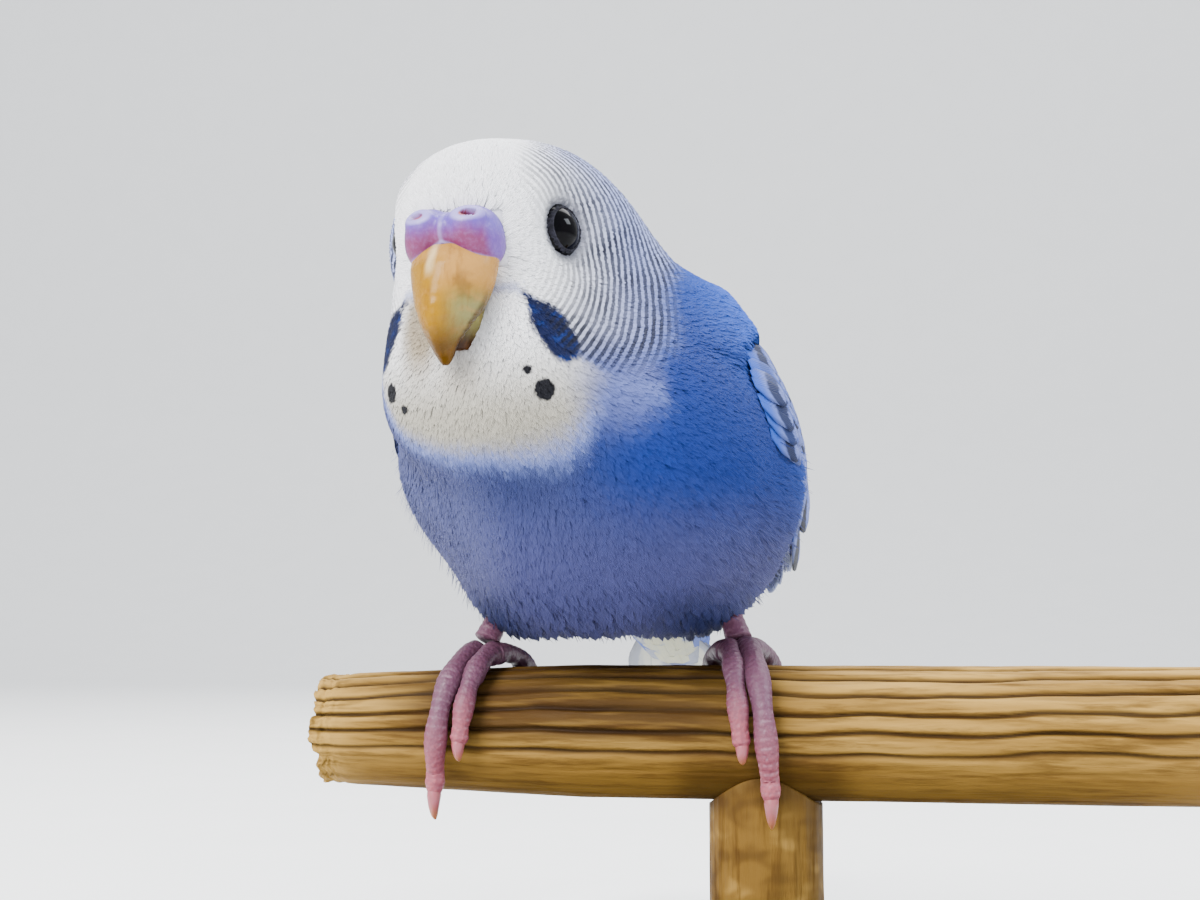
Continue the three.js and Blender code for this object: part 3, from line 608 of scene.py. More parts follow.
def wood_look(name, stretch):
    """Bare wood with its grain drawn out along one way"""
    look = Look(name, Roughness=0.7, Specular_IOR_Level=0.1)
    along = look.stretched(stretch)
    grain = look.noise(950.0, 5.0, along, 0.65)
    broad = look.noise(160.0, 3.0, along)
    look.colour(look.flecked(look.attribute("tint"), (grain, 0.46, 0.68, 0.65, (60, 37, 9)),
                             (broad, 0.45, 0.75, 0.08, (196, 158, 82))))
    look.roughness(look.span(grain, 0.3, 0.8, 0.55, 0.85))
    look.bump(look.plus(grain, look.times(broad, 0.4)), 0.00025, 0.8)
    return look.material


def base_look():
    look = Look("stand_black", Roughness=0.42)
    grain = look.noise(1400.0, 3.0)
    look.colour(look.mix(grain, srgb(20, 20, 22), srgb(34, 34, 37)))
    look.roughness(look.span(grain, 0.3, 0.8, 0.34, 0.5))
    look.bump(grain, 0.00003, 0.5)
    return look.material


def steel_look():
    look = Look("stand_steel", Metallic=1.0, Roughness=0.3)
    turned = look.noise(1500.0, 3.0, look.stretched((0.05, 0.05, 1.0)))
    look.colour(look.mix(turned, srgb(150, 152, 156), srgb(190, 192, 195)))
    look.roughness(look.span(turned, 0.3, 0.8, 0.22, 0.4))
    look.bump(turned, 0.00002, 0.5)
    return look.material


# Markings, worked out from a place on the bird

BILL_ROOT = from_head([0.0, -11.0, -2.0])
WHITE = rgb(236, 236, 240)
# Grey of the painted shade low on the mask, then brown of the painted shadow with dust beside the bill
LOW_MASK_SHADE = rgb(158, 153, 140)
DUST_AND_SHADE = rgb(132, 116, 88)
LILAC = rgb(114, 130, 196)
HAZE = rgb(88, 92, 136)
GREY_BLUE = rgb(44, 53, 100)
CLEAR_BLUE = rgb(10, 40, 114)
BELLY_VIOLET = rgb(64, 67, 117)
LEG_NAVY = rgb(24, 34, 82)
MANTLE_BLUE = rgb(32, 82, 188)
CHEEK_NAVY = rgb(4, 14, 52)
CHEEK_GLINT = rgb(10, 44, 116)
# Grey of the painted shade round the eyes
PAINTED_EYE_SHADE = rgb(58, 58, 70)
LAVENDER = rgb(84, 94, 152)
# Middle of a greyer lavender patch on the bird's left beside the mask: the real join of white and blue, with
# painted shade on that side only
LAVENDER_SHADE_CENTRE = np.array([13.4, -4.4, -14.4])
CHEEK_PATCH = (np.array([6.2, -10.2, -6.2]), np.array([9.5, -8.3, -10.9]))


def tint(colour, share, other):
    return colour + (other - colour) * share[..., None]


def paint(base, shape, *layers):
    """A base colour at many places, with layers over it, each its share and its colour"""
    colour = np.broadcast_to(base, shape)
    for share, other in layers:
        colour = tint(colour, share, other)
    return colour


def bill_distance(p):
    return np.linalg.norm(p - BILL_ROOT, axis=-1)


def lid_distance(h):
    return np.linalg.norm(mirrored(h) - EYE_CENTRE - 2.6 * EYE_AXIS, axis=-1)


def eye_offset(h):
    """Distance along the nearer eye's axis, and off it"""
    from_eye = mirrored(h) - EYE_CENTRE
    along = from_eye @ EYE_AXIS
    return along, np.linalg.norm(from_eye - along[..., None] * EYE_AXIS, axis=-1)


def mask_share(h):
    """Share of white mask: the face's lower front, down to a curved edge on the breast"""
    off = np.abs(h[..., 0] - 1.0)
    edge = -21.4 + np.interp(off, [0, 3, 6, 8, 9.5, 10.5, 12], [0, 0.2, 1.2, 2.4, 4.4, 6.4, 10.0])
    soft = np.interp(h[..., 0], [2, 7, 12], [2.2, 4.4, 7.0])
    return smooth(edge - soft, edge + 2.4, h[..., 2]) * smooth(3.0, -2.0, h[..., 1])


def cheek_line(h):
    """Height of the line from the bill's corner back past the cheek patch, where the mask ends"""
    return np.interp(h[..., 1], [-10.5, -8.5, -5.0, -2.0, 2.0], [-5.6, -11.0, -12.9, -14.0, -22.0])


def hood_end(h):
    """Distance from the bill at which the barred hood meets the blue"""
    low = np.interp(h[..., 1], [-6.0, -4.0, -1.0, 2.0], [17.0, 18.4, 20.8, 22.0])
    return lerp(low, 31.0, smooth(-5.0, 7.0, h[..., 2]))


def bar_marks(p):
    """Phase and strength of the dark bars on the hind crown, nape and cheek"""
    h = to_head(p)
    away = bill_distance(p)
    phase = np.log(1 + 0.02 * np.maximum(away - 8.0, -20) / 0.56) / 0.02
    start = lerp(16.5, 8.5, smooth(1.5, 7.0, np.abs(h[..., 0])))
    end = hood_end(h)
    strength = smooth(start - 2.5, start + 5.0, away) * smooth(end + 2.2, end - 1.5, away)
    strength = strength * (0.85 + 0.15 * value_noise(h[..., 1] * 0.5, h[..., 2] * 0.5))
    strength = strength * smooth(-0.8, 0.6, h[..., 2] - cheek_line(h))
    return phase, strength * smooth(2.7, 3.9, lid_distance(h))


def body_colour(p):
    """Blue of the breast, flanks, belly, thighs, mantle and rump, with painted light: the bird's lit right
    side greyer than its left
    """
    x, y, z = p[..., 0], p[..., 1], p[..., 2]
    # The bird's left flank gets full clear blue and its right only a third: painted light, the lit right
    # side drawn greyer.
    flank = smooth(0.0, 13.0, np.abs(x + 1.5) + 0.35 * (x > 0) * x) * smooth(7.0, 20.0, z)
    flank = np.where(x > 0, flank, 0.35 * flank)
    return paint(
        GREY_BLUE, p.shape,
        (0.95 * flank, CLEAR_BLUE),
        (smooth(19.0, 8.0, z) * smooth(30, 0, y), BELLY_VIOLET),
        # Grey haze on the front of the bird's right breast: painted sheen of the lit feathers.
        (smooth(-4.0, -13.0, x) * smooth(4.0, -4.0, y) * 0.5, HAZE),
        (smooth(9.0, 4.0, z) * smooth(5.0, 11.0, np.abs(x)), LEG_NAVY),
        (smooth(-12.0, 2.0, y) * smooth(12.0, 24.0, z), MANTLE_BLUE),
        (0.8 * smooth(-20.0, -6.0, y) * smooth(24.0, 34.0, z), MANTLE_BLUE),
        (smooth(20.0, 34.0, y), MANTLE_BLUE))


def hood_colour(h, away, end, low):
    """White between the hood's bars, tinged with lilac and, low down, with grey"""
    start = lerp(14.5, 8.5, smooth(1.5, 7.0, np.abs(h[..., 0])))
    return paint(
        WHITE, h.shape,
        (smooth(start, start + 11, away) * 0.85, LILAC),
        (0.12 * smooth(9.0, 13.0, away) * smooth(4.0, -3.0, h[..., 2]), HAZE),
        (0.3 * low * smooth(end - 7.0, end - 1.0, away), HAZE))


def mask_colour(h):
    """White of the mask, greyer low down with painted shade, with a painted shadow and dust beside the bill
    on its right and a darker smudge below it
    """
    beside = np.hypot((h[..., 0] + 4.0) / 2.8, (h[..., 2] + 8.8) / 5.5)
    below = np.hypot((h[..., 0] - 0.6) / 2.6, (h[..., 2] + 13.4) / 2.8)
    return paint(
        WHITE, h.shape,
        # Greyer towards the bottom: painted shade under the chin.
        (smooth(-8.0, -18.0, h[..., 2]), LOW_MASK_SHADE),
        # Beside the bill on its right: painted shadow of the bill, with some dust.
        (smooth(1.25, 0.4, beside) * 0.9, DUST_AND_SHADE),
        # Below the bill's tip: a darker brown-grey smudge in the same colour.
        (smooth(1.3, 0.2, below) * 0.35, DUST_AND_SHADE))


def cheek_patch(h):
    """Share and colour of the dark patch on each cheek"""
    both = mirrored(h)
    start, end = CHEEK_PATCH
    line = end - start
    t = np.clip((both - start) @ line / (line @ line), 0, 1)
    off = np.linalg.norm(both - (start + t[..., None] * line), axis=-1)
    reach = lerp(0.4, 1.75, smooth(0.0, 0.55, t))
    glint = smooth(0.0, 0.9, value_noise(both[..., 0] * 1.3, both[..., 2] * 1.9, seed=7))
    return smooth(reach + 0.25, reach - 0.25, off), paint(CHEEK_NAVY, h.shape, (0.7 * glint, CHEEK_GLINT))


def plume_colour(p):
    """Colour of the plumage at a place, as linear red, green and blue"""
    h = to_head(p)
    away = bill_distance(p)
    upper = smooth(-1.2, 1.2, h[..., 2] - cheek_line(h))
    end = hood_end(h)
    low = smooth(1.0, -6.0, h[..., 2])
    haze = upper * low * smooth(end + 5.0, end + 0.5, away) * smooth(0.0, -3.5, h[..., 1])
    mask = mask_share(h)
    lavender_shade = smooth(6.5, 1.5, np.linalg.norm(h - LAVENDER_SHADE_CENTRE, axis=-1))
    return paint(
        body_colour(p), p.shape,
        (0.75 * haze, HAZE),
        (0.4 * upper * smooth(end + 2.0, end - 0.8, away), LILAC),
        (upper * smooth(end + 0.5, end - 3.0, away), hood_colour(h, away, end, low)),
        ((1 - upper) * smooth(0.0, 0.55, mask) * 0.9, LILAC),
        (smooth(0.3, 1.0, (1 - upper) * mask), mask_colour(h)),
        # Greyer lavender on the bird's left only: painted shade over the real join of mask and blue.
        (0.8 * lavender_shade, LAVENDER),
        cheek_patch(h),
        # Darker feathers round each eye: painted shade.
        (smooth(4.1, 2.5, eye_offset(h)[1]) * 0.9 * (np.abs(h[..., 0]) > 4), PAINTED_EYE_SHADE))


# Skin: rings round a bent axis from the tail's root to the crown

SKIN_ROWS = 150
SKIN_COLUMNS = 128


def spine_points(count):
    """Evenly spaced points of the bent axis"""
    angles = np.radians(np.linspace(NECK_BEND["start"], 90, 30))
    arc = np.stack([
        -6.2 * smooth(0, 1, np.linspace(0, 1, 30)),
        NECK_BEND["y"] - NECK_BEND["radius"] * np.sin(angles),
        NECK_BEND["z"] - NECK_BEND["radius"] * np.cos(angles),
    ], -1)
    below = np.array([[HEAD_CENTRE[0] - 0.4, arc[-1, 1] - 0.2, HEAD_CENTRE[2] + 4]])
    reach = reach_out(below, np.array([[0.0, 0, 1]]), body_field) - 0.01
    crown = below + np.array([[0.0, 0, 1]]) * reach[:, None]
    line = np.vstack([[TAIL_ROOT, [0, 34, 12.4], [0, 18, 18.2]], arc, crown])
    run = run_along(line)
    even = np.linspace(0, run[-1], count)
    line = np.stack([np.interp(even, run, line[:, k]) for k in range(3)], -1)
    for _ in range(30):
        line[1:-1] = (line[:-2] + 2 * line[1:-1] + line[2:]) / 4
    return line


def skin_grid():
    """Points of the feathered outline, rows along the axis by columns round it"""
    spine = spine_points(SKIN_ROWS)
    along = unit(np.gradient(spine, axis=0))
    across = unit(np.array([1.0, 0, 0]) - along * along[:, :1])
    up = np.cross(across, along)
    angles = 2 * np.pi * np.arange(SKIN_COLUMNS) / SKIN_COLUMNS
    c, s = np.cos(angles)[None, :, None], np.sin(angles)[None, :, None]
    directions = across[:, None] * c + up[:, None] * s
    origins = np.repeat(spine[:, None], SKIN_COLUMNS, 1)
    r = reach_out(origins, directions, body_field)
    grid = origins + r[..., None] * directions
    pole = settle(grid[-1:].mean(1, keepdims=True), 0.0)
    return np.concatenate([grid, np.repeat(pole, SKIN_COLUMNS, 1)])


def coat_depth(p):
    """How far the skin lies inside the outline: least on the face and most on the belly"""
    return np.interp(bill_distance(p), [5, 14, 30, 45], [0.35, 0.6, 1.0, 1.3])


def trim(p):
    """How far the plumage is drawn in under the belly and at the lower right flank"""
    under = 0.9 * smooth(10.0, 3.0, p[..., 2]) * smooth(30.0, 16.0, p[..., 1])
    flank = smooth(-5.0, -12.0, p[..., 0]) * smooth(22.0, 12.0, p[..., 2]) * smooth(14.0, 4.0, p[..., 1])
    return np.maximum(under, 1.2 * flank)


def lie_of(p, normal):
    """Direction in which the feathers lie: away from the bill on the head, then towards the tail"""
    away = p - BILL_ROOT
    share = smooth(24.0, 52.0, np.linalg.norm(away, axis=-1))[..., None]
    tailward = unit(TAIL_ROOT + np.array([0.0, 40.0, -12.0]) - p)
    flow = unit(away) * (1 - share) + tailward * share
    flow = flow - normal * np.sum(flow * normal, -1, keepdims=True)
    return unit(flow)


def skin_piece(grid):
    rise = SKIN_RISE * WING_COVER * over_wing(grid) - coat_depth(grid) - trim(grid)
    points = grid + normal_of(grid) * rise[..., None]
    piece = tube_object("skin", points, skin_look("skin"), "blue_plumage")
    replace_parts(piece, "head", "neck", "torso")
    ease_values(piece, "plume", opaque(plume_colour(grid)))
    phase, strength = bar_marks(grid)
    ease_values(piece, "marks", np.stack([phase, strength, 0 * phase], -1))
    u, v = np.meshgrid(np.arange(SKIN_COLUMNS) / SKIN_COLUMNS, np.arange(len(grid)) / len(grid))
    flat = np.stack([u, v], -1).reshape(-1, 2)
    set_bake_map(piece, within_map(np.vstack([flat, flat[:1], flat[-1:]])))


# Plumage: thin pointed leaves in overlapping rows

LEAF_STATIONS = [0.0, 0.35, 0.78, 1.0]
LEAF_WIDTHS = [0.6, 1.0, 0.86, 0.0]
LEAF_POINTS = 10
LEAF_FRAY = 7.0
SKIN_RISE = 0.62
TUFT_PATCH = 0.003
WING_COVER = 2.5

# Sizes of the leaves by distance from the bill, and in how many layers they lie
LEAF_SIZE = {
    "reach": [4.0, 10.0, 18.0, 28.0, 45.0, 75.0],
    "length": [1.2, 1.9, 2.7, 3.6, 5.0, 6.5],
    "width": [0.38, 0.50, 0.62, 0.72, 0.90, 1.2],
    "layers": [9.0, 10.0, 12.0, 15.0, 17.0, 13.0],
}


def leaf_size(key, away):
    """One measure of the leaves at distances from the bill"""
    return np.interp(away, LEAF_SIZE["reach"], LEAF_SIZE[key])


def degrees_round(p):
    """Degrees from straight up round the wing's axis, on either side"""
    return np.degrees(np.arctan2(np.abs(p[..., 0]), p[..., 2] - axis_height(p[..., 1])))


def covered_by_wing(p):
    """How many degrees a place lies within the edges of the folded wing"""
    y, degrees = p[..., 1], degrees_round(p)
    inside = np.minimum(degrees - core_top(y), core_bottom(y) - degrees)
    return np.minimum(inside, np.minimum(y - WING_FRONT, 46 - y) * 2.5)


def mantle_low(y):
    """Degrees down to which the mantle's feathers lie over the folded wing"""
    return np.interp(y, [-14, -8, 0, 10, 24], [88, 74, 63, 52, 34])


def over_wing(p):
    """Share of the rise of the small feathers that lap over the wing's upper and front edge"""
    y, degrees = p[..., 1], degrees_round(p)
    upper = smooth(-26, -2, degrees - core_top(y)) * smooth(8, -5, degrees - mantle_low(y))
    upper = upper * smooth(-21, -4, y) * smooth(38, 24, y)
    front = smooth(-16, -3, covered_by_wing(p)) * smooth(-14, -6, y) * smooth(2, -4, y)
    return np.maximum(upper, 0.85 * front * (p[..., 0] < 0))


def flank_puff(p):
    """Rise of the fluffed feathers' tips that close up to the wing's lower edge"""
    y, degrees = p[..., 1], degrees_round(p)
    band = smooth(98, 110, degrees) * smooth(150, 120, degrees)
    return band * smooth(-14, -6, y) * smooth(24, 10, y) * np.where(p[..., 0] > 0, 1.9, 0.7)


def bare_places(p):
    """True where no feather grows: the eyes, the cere and the bill"""
    h = to_head(p)
    along, off = eye_offset(h)
    x, y, z = np.abs(h[..., 0]), h[..., 1], h[..., 2]
    eye = (off < 2.25) & (along > 0)
    cere = (x < 4.6) & (y < -9) & (z > -3.6) & (z < 1.6)
    bill = (x < np.interp(z, [-10, -7, -3.6], [1.0, 2.4, 3.6])) & (y < -9) & (z > -10) & (z <= -3.6)
    return eye | cere | bill


def plumage_roots(grid, rng):
    """Places of the feather roots, even over the skin, with their place on the unwrap"""
    corner = grid[:-1]
    beside = np.roll(grid, -1, 1)[:-1]
    ahead = grid[1:]
    far = np.roll(grid, -1, 1)[1:]
    area = np.linalg.norm(np.cross(beside - corner, ahead - corner), axis=-1)
    middle = (corner + far) / 2
    away = bill_distance(middle)
    crowd = leaf_size("layers", away) / (leaf_size("length", away) * leaf_size("width", away) * 0.65)
    hidden = (covered_by_wing(middle) > 7.0) & (over_wing(middle) < 0.05)
    crowd = np.where(hidden, 0.0, crowd * (1 + 0.5 * over_wing(middle)))
    weight = (area * crowd).ravel()
    total = int(weight.sum() * (1.0))
    edges = np.cumsum(weight)
    spots = (np.arange(total) + rng.random(total)) / total * edges[-1]
    cell = np.minimum(np.searchsorted(edges, spots), len(edges) - 1)
    row, column = np.unravel_index(cell, area.shape)
    a, b = rng.random((2, total))
    near, after = (lerp(one[row, column], other[row, column], a[:, None])
                   for one, other in ((corner, beside), (ahead, far)))
    roots = lerp(near, after, b[:, None])
    unwrap = np.stack([(column + a) / SKIN_COLUMNS, (row + b) / len(grid)], -1)
    keep = ~bare_places(roots)
    return roots[keep], unwrap[keep]


def leaf_paths(roots, rng, length, lift):
    """Points, normals and directions at each station of every leaf"""
    swing = np.radians(rng.normal(0, LEAF_FRAY, len(roots)))
    p = roots
    before = 0.0
    path = []
    for v in LEAF_STATIONS:
        normal = normal_of(p)
        flow = lie_of(p, normal)
        side = np.cross(flow, normal)
        flow = flow * np.cos(swing)[:, None] + side * np.sin(swing)[:, None]
        p = p + flow * ((v - before) * length)[:, None]
        rise = over_wing(p) * WING_COVER - trim(p)
        level = lerp(-0.45 * coat_depth(roots) - 0.1, lift + flank_puff(p), v) + rise
        p = settle(p, level)
        path.append((p, normal, flow))
        before = v
    return path


def leaf_faces(count):
    """Faces of closed leaves, each three rings of three points and a tip"""
    sides = []
    for k in range(2):
        for a, b in ((0, 1), (1, 2), (2, 0)):
            low, high = 3 * k, 3 * k + 3
            sides.append([low + a, low + b, high + b])
            sides.append([low + a, high + b, high + a])
    tip = [[6, 7, 9], [7, 8, 9], [8, 6, 9]]
    one = np.array(sides + tip + [[0, 2, 1]])
    return (np.arange(count)[:, None, None] * LEAF_POINTS + one[None]).reshape(-1, 3)


def leaf_shapes(roots, away, rng):
    """Length, width and lift of each leaf"""
    count = len(roots)
    vary = rng.uniform(0.8, 1.25, count)
    length = leaf_size("length", away) * vary
    width = leaf_size("width", away) * rng.uniform(0.8, 1.2, count)
    near_eye = smooth(6.5, 3.0, lid_distance(to_head(roots)))
    length = length * lerp(1.0, 0.42, near_eye)
    fluff = smooth(12, 4, roots[:, 2]) * smooth(20, 0, roots[:, 1])
    calm = lerp(0.5, 1.0, smooth(12, 26, away))
    lift = 0.02 + 0.11 * calm * rng.random(count) + 0.9 * fluff * rng.random(count) ** 4
    side = smooth(9, 17, np.abs(roots[:, 0])) * smooth(26, 16, roots[:, 2]) * smooth(14, 4, roots[:, 1])
    wisp = rng.random(count) < 0.16 * np.maximum(side, fluff)
    lift = np.where(wisp, rng.uniform(0.3, 1.3, count), lift)
    width = np.where(wisp, 0.10 * width, width)
    return length * (1 + 0.4 * over_wing(roots)), width, lift


def leaf_points(path, length, width, chance):
    """Points of each leaf, their place among its barbs and the way they face: threes, then the tip"""
    points, barbs, facing = np.zeros((3, len(length), LEAF_POINTS, 3))
    for k, (p, normal, flow) in enumerate(path):
        across = np.cross(flow, normal)
        half = (width * LEAF_WIDTHS[k] / 2)[:, None]
        along = length * LEAF_STATIONS[k]
        if k == 3:
            points[:, -1] = p
            facing[:, -1] = normal
            barbs[:, -1] = np.stack([0 * along, along, chance], -1)
            continue
        for j, e in enumerate((-1, 0, 1)):
            crown = (0.07 * width * LEAF_WIDTHS[k])[:, None] * (e == 0)
            points[:, 3 * k + j] = p + across * half * e + normal * crown
            facing[:, 3 * k + j] = unit(normal + 0.12 * e * across + 0.06 * flow)
            barbs[:, 3 * k + j] = np.stack([e * half[:, 0], along, chance], -1)
    return points.reshape(-1, 3), barbs, facing.reshape(-1, 3)


def leaf_piece(name, slot, material, roots, unwrap, rng):
    """One coat piece: a joined mesh of leaves with its colours, barbs and unwrap"""
    count = len(roots)
    away = bill_distance(roots)
    length, width, lift = leaf_shapes(roots, away, rng)
    path = leaf_paths(roots, rng, length, lift)
    chance = rng.random(count)
    flat, barbs, facing = leaf_points(path, length, width, chance)
    piece = make_object(name, flat, leaf_faces(count), material, slot)
    piece.data.normals_split_custom_set_from_vertices(facing)
    set_values(piece, "face", to_head(flat))
    calm = lerp(0.1, 0.3, smooth(14, 24, away))[:, None]
    jitter = np.repeat(rng.normal(0, 1, (count, 3)) * calm, LEAF_POINTS, 0)
    shade = np.repeat(rng.normal(1.0, 0.045, count), LEAF_POINTS)[:, None]
    root_dark = np.tile(np.repeat([0.93, 0.98, 1.0, 1.02], [3, 3, 3, 1]), count)[:, None]
    colour = np.clip(plume_colour(flat + jitter) * shade * root_dark, 0, 1)
    set_values(piece, "plume", opaque(colour))
    phase, strength = bar_marks(flat)
    drift, luck = (np.repeat(value, LEAF_POINTS) for value in (rng.normal(0, 0.035, count), chance))
    set_values(piece, "marks", np.stack([phase + drift, strength, luck], -1))
    set_values(piece, "barbs", barbs.reshape(-1, 3))
    low, high = unwrap.min(0), unwrap.max(0)
    centre = within_map((unwrap - low) / (high - low))
    reach = np.max(np.abs(barbs[..., 0]), axis=1, keepdims=True)
    local = np.stack([barbs[..., 0] / np.maximum(reach, 1e-6) * 0.5,
                      barbs[..., 1] / length[:, None] - 0.5], -1)
    set_bake_map(piece, (centre[:, None] + TUFT_PATCH * local).reshape(-1, 2))


# Pieces of the coat: where each starts on the skin's rows, from tail to crown, and its slot
PLUMAGE_BANDS = [
    ("plumage_rump", 0.0, "blue_plumage"),
    ("plumage_belly", 0.30, "blue_plumage"),
    ("plumage_breast", 0.46, "blue_plumage"),
    ("plumage_throat", 0.60, "white_plumage"),
    ("plumage_cheek", 0.705, "white_plumage"),
    ("plumage_face", 0.795, "white_plumage"),
    ("plumage_crown", 0.89, "white_plumage"),
]


def grow_plumage(grid):
    rng = np.random.default_rng(SEED)
    roots, unwrap = plumage_roots(grid, rng)
    material = plumage_look("plumage")
    ends = [low for _, low, _ in PLUMAGE_BANDS[1:]] + [1.01]
    for (name, low, slot), high in zip(PLUMAGE_BANDS, ends):
        inside = (unwrap[:, 1] >= low) & (unwrap[:, 1] < high)
        leaf_piece(name, slot, material, roots[inside], unwrap[inside], rng)


# Wings: rows of vanes on the folded wing's surface

WING_FRONT = -7.0
WING_APART = 0.25
CORE_END = 40.0


def axis_height(y):
    """Height of the axis that the folded wings are laid round"""
    return 24 - 0.322 * (y - 5)


def core_top(y):
    """Degrees from straight up at which the wing's upper edge lies"""
    return lerp(58, 22, np.clip((y - WING_FRONT) / 46, 0, 1) ** 0.7)


def core_bottom(y):
    """Degrees from straight up at which the wing's lower edge lies"""
    return lerp(92, 108, np.clip((y - WING_FRONT) / 22, 0, 1)) - 0.35 * np.maximum(y - 20, 0)


def rear_hull(y, angle):
    """Distance from the axis to the folded wings' outline behind the body"""
    reach = np.clip((y - 12) / 70, 0, 1)
    front = 2.5 * (1 - np.clip((y - WING_FRONT) / 22, 0, 1))
    wide = 20 * (1 - 0.92 * reach ** 1.7) - front
    tall = 18 * (1 - 0.8 * reach ** 1.3) - front
    return 1 / np.hypot(np.sin(angle) / wide, np.cos(angle) / tall)


# Places at which the wing's surface is worked out
GRID_Y = np.linspace(-16, 92, 109)
GRID_DEGREES = np.linspace(0, 150, 76)


def wing_surface():
    """Distance from the axis to the wing's surface over the grid"""
    y, degrees = np.meshgrid(GRID_Y, GRID_DEGREES, indexing="ij")
    angle = np.radians(degrees)
    origins = np.stack([0 * y, y, axis_height(y)], -1)
    directions = np.stack([np.sin(angle), 0 * y, np.cos(angle)], -1)
    inside = body_field(origins) < 0
    skin = np.where(inside, reach_out(origins, directions, body_field), 0.0)
    cover = 0.9 * np.clip((y - WING_FRONT) / 16, 0, 1)
    return -blend(-(skin + 1.0 + cover), -rear_hull(y, angle), 2)


WING_RADIUS = wing_surface()


def wing_reach(y, degrees):
    """Distance from the axis to the wing's surface at any place"""
    fy = np.clip((y - GRID_Y[0]) / (GRID_Y[1] - GRID_Y[0]), 0, len(GRID_Y) - 1.001)
    fd = np.clip((degrees - GRID_DEGREES[0]) / (GRID_DEGREES[1] - GRID_DEGREES[0]),
                 0, len(GRID_DEGREES) - 1.001)
    i, j = fy.astype(int), fd.astype(int)
    a, b = fy - i, fd - j
    low = lerp(WING_RADIUS[i, j], WING_RADIUS[i, j + 1], b)
    high = lerp(WING_RADIUS[i + 1, j], WING_RADIUS[i + 1, j + 1], b)
    return lerp(low, high, a)


def wing_point(side, y, degrees, lift):
    """Place on the wing's surface, or at a lift over it"""
    angle = np.radians(degrees)
    radius = wing_reach(y, degrees) + lift
    x = np.maximum(radius * np.sin(angle), WING_APART)
    return np.stack([side * x, y, axis_height(y) + radius * np.cos(angle)], -1)


VANE_ROWS = 15
VANE_COLUMNS = 7


def vane_outline(t, point):
    """Share of a vane's breadth along it, from its root to its tip"""
    root = np.minimum(1, 0.45 + 1.8 * t)
    tip = np.where(t < 0.72, 1, np.sqrt(np.maximum(0, 1 - ((t - 0.72) / 0.28) ** 2)))
    return root * lerp(point, 1, tip)


def vane_mesh(place, thickness, point):
    """Closed thin blade: its points, and for each how far it lies across and along"""
    stations = np.linspace(0, 1, VANE_ROWS) ** 0.85
    t, e = np.meshgrid(stations, np.linspace(-1, 1, VANE_COLUMNS), indexing="ij")
    across = e * vane_outline(t, point)
    sides = [place(t, across, lift).reshape(-1, 3) for lift in (0.0, -thickness)]
    local = np.stack([e, t, 0 * t], -1).reshape(-1, 3)
    return np.concatenate(sides), np.concatenate([local, local])


def vane_faces():
    """Upper side, under side and the four rims between them"""
    top = grid_faces(VANE_ROWS, VANE_COLUMNS)
    size = VANE_ROWS * VANE_COLUMNS
    i = np.arange(VANE_ROWS - 1) * VANE_COLUMNS
    j = np.arange(VANE_COLUMNS - 1)
    last, right = size - VANE_COLUMNS + j, i + VANE_COLUMNS - 1
    faces = [top, top[:, ::-1] + size]
    for a, b in ((i + VANE_COLUMNS, i), (j, j + 1), (right, right + VANE_COLUMNS), (last, last + 1)):
        faces.append(np.stack([b, a, a + size], -1))
        faces.append(np.stack([b, a + size, b + size], -1))
    return np.vstack(faces)


def flare(side, y, degrees):
    """How far the wing's lower edge stands off from the body"""
    return (1.1 if side > 0 else 0.3) * smooth(76, 104, degrees) * smooth(-6, 12, y) * smooth(62, 36, y)


def wing_vane(side, root, tip, width, lifts, tilt, point, thickness=0.2, arch=0.12):
    """Vane on the wing from root to tip, each given as place along the bird and degrees"""
    def place(t, e, lift):
        y = lerp(root[0], tip[0], t)
        degrees = lerp(root[1], tip[1], t)
        radius = np.maximum(wing_reach(y, degrees), 4)
        turn = np.degrees(e * width / 2 / radius)
        rise = lerp(lifts[0], lifts[1], t) + tilt * e * width / 2 + arch * (1 - e * e)
        return wing_point(side, y, degrees + turn, rise + lift + flare(side, y, degrees))
    return vane_mesh(place, thickness, point)


def join_vanes(name, vanes, material, slot, flip):
    """Joins vanes to one piece, each with its own cell of the bake map"""
    one = vane_faces()
    size = 2 * VANE_ROWS * VANE_COLUMNS
    if flip:
        one = one[:, ::-1]
    points = np.concatenate([v["points"] for v in vanes])
    faces = (np.arange(len(vanes))[:, None, None] * size + one[None]).reshape(-1, 3)
    piece = make_object(name, points, faces, material, slot)
    local = np.concatenate([v["local"] for v in vanes])
    keys = ("chance", "length", "blue")
    chance, length, blue = (np.repeat([v[key] for v in vanes], size) for key in keys)
    local[:, 2] = chance
    set_values(piece, "vane", local)
    under = np.tile(np.repeat([0.0, 1.0], size // 2), len(vanes))
    set_values(piece, "vane_kind", np.stack([length, under, blue], -1))
    cells = math.ceil(math.sqrt(len(vanes)))
    index = np.repeat(np.arange(len(vanes)), size)
    u = (index % cells + 0.05 + 0.42 * (0.5 + local[:, 0] / 2) + 0.48 * under) / cells
    v = (index // cells + 0.05 + 0.9 * local[:, 1]) / cells
    set_bake_map(piece, np.stack([u, v], -1))
    return piece


